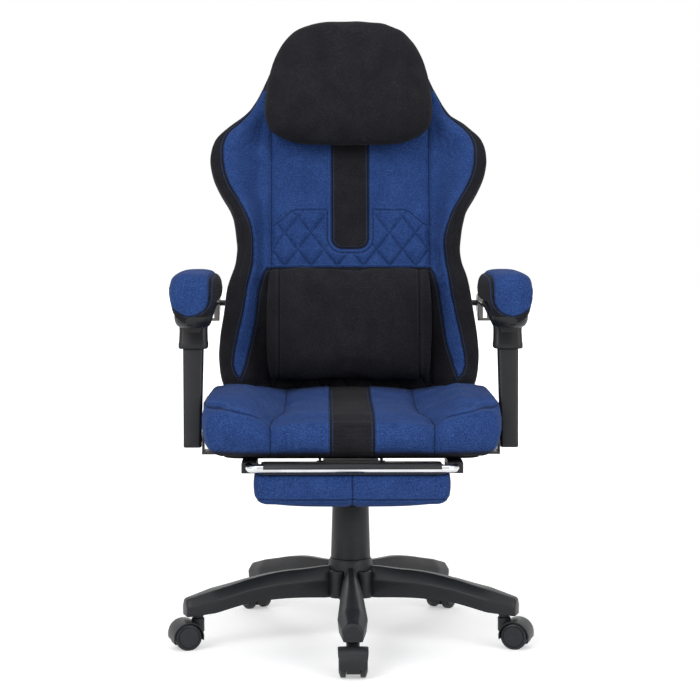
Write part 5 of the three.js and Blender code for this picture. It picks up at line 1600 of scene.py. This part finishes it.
for number in range(1, 6):
    makeCaster(number, 2 * math.pi * (number - 1) / 5)
    node = nodes[f"caster_stem_{number}"]
    node.data.materials.clear()
    node.data.materials.append(boltSteel)
print("casters ready")


# Studio
studioValues = {
    "floorHalf": 14.0, "floorWhite": (0.86, 0.86, 0.86, 1), "glowNear": (1.2, 0.42), "glowFar": (5.0, 1.1),
    "worldLight": 0.42, "worldSeen": 0.58, "lampsAimAt": (0, 0, 0.55),
}


def makeFloor():
    values = studioValues
    mesh = bpy.data.meshes.new("studioFloor")
    places = np.linspace(-values["floorHalf"], values["floorHalf"], 9)
    x, y = np.meshgrid(places, places, indexing="xy")
    points = np.stack([x, y, np.zeros_like(x)], -1)
    index = np.arange(x.size).reshape(x.shape)
    mesh.from_pydata(points.reshape(-1, 3).tolist(), [], gridQuads(index).tolist())
    floor = linked("studioFloor", mesh)
    material, tree, shader = startMaterial("paleFloor")
    shader.inputs["Base Color"].default_value = values["floorWhite"]
    shader.inputs["Roughness"].default_value = 0.9
    shader.inputs["Specular IOR Level"].default_value = 0.1
    path = addNode(tree, "ShaderNodeLightPath")
    seen = mathNode(tree, "MAXIMUM", path.outputs["Is Camera Ray"], path.outputs["Is Glossy Ray"])
    reach = addNode(tree, "ShaderNodeVectorMath", operation="LENGTH")
    wire(tree, objectPlace(tree), reach.inputs[0])
    (near, low), (far, high) = values["glowNear"], values["glowFar"]
    glow = times(tree, seen, ramp(tree, reach.outputs["Value"], near, far, low, high))
    shader.inputs["Emission Color"].default_value = (1, 1, 1, 1)
    wire(tree, glow, shader.inputs["Emission Strength"])
    mesh.materials.append(material)


def makeLights():
    lamps = [
        ("keyLight", (-2.6, -3.6, 3.2), 2.6, 106),
        ("fillLight", (2.9, -3.2, 2.4), 2.6, 70),
        ("topLight", (0.0, -0.4, 4.2), 3.0, 34),
        ("rearLight", (0.0, 3.2, 2.6), 2.4, 30),
    ]
    for name, place, size, power in lamps:
        data = bpy.data.lights.new(name, "AREA")
        data.shape = "SQUARE"
        data.size = size
        data.energy = power
        lamp = linked(name, data)
        lamp.location = place
        lamp.rotation_mode = "QUATERNION"
        away = Vector(place) - Vector(studioValues["lampsAimAt"])
        lamp.rotation_quaternion = away.to_track_quat("Z", "Y")
    world = bpy.data.worlds.new("studioWorld")
    bpy.context.scene.world = world
    world.use_nodes = True
    tree = world.node_tree
    background = tree.nodes["Background"]
    background.inputs["Color"].default_value = (1, 1, 1, 1)
    path = addNode(tree, "ShaderNodeLightPath")
    seen = mathNode(tree, "MAXIMUM", path.outputs["Is Camera Ray"], path.outputs["Is Transmission Ray"])
    seen = mathNode(tree, "MAXIMUM", seen, path.outputs["Is Glossy Ray"])
    strength = plus(tree, studioValues["worldLight"], times(tree, seen, studioValues["worldSeen"]))
    wire(tree, strength, background.inputs["Strength"])


makeFloor()
makeLights()
bpy.context.scene.view_settings.view_transform = "Standard"
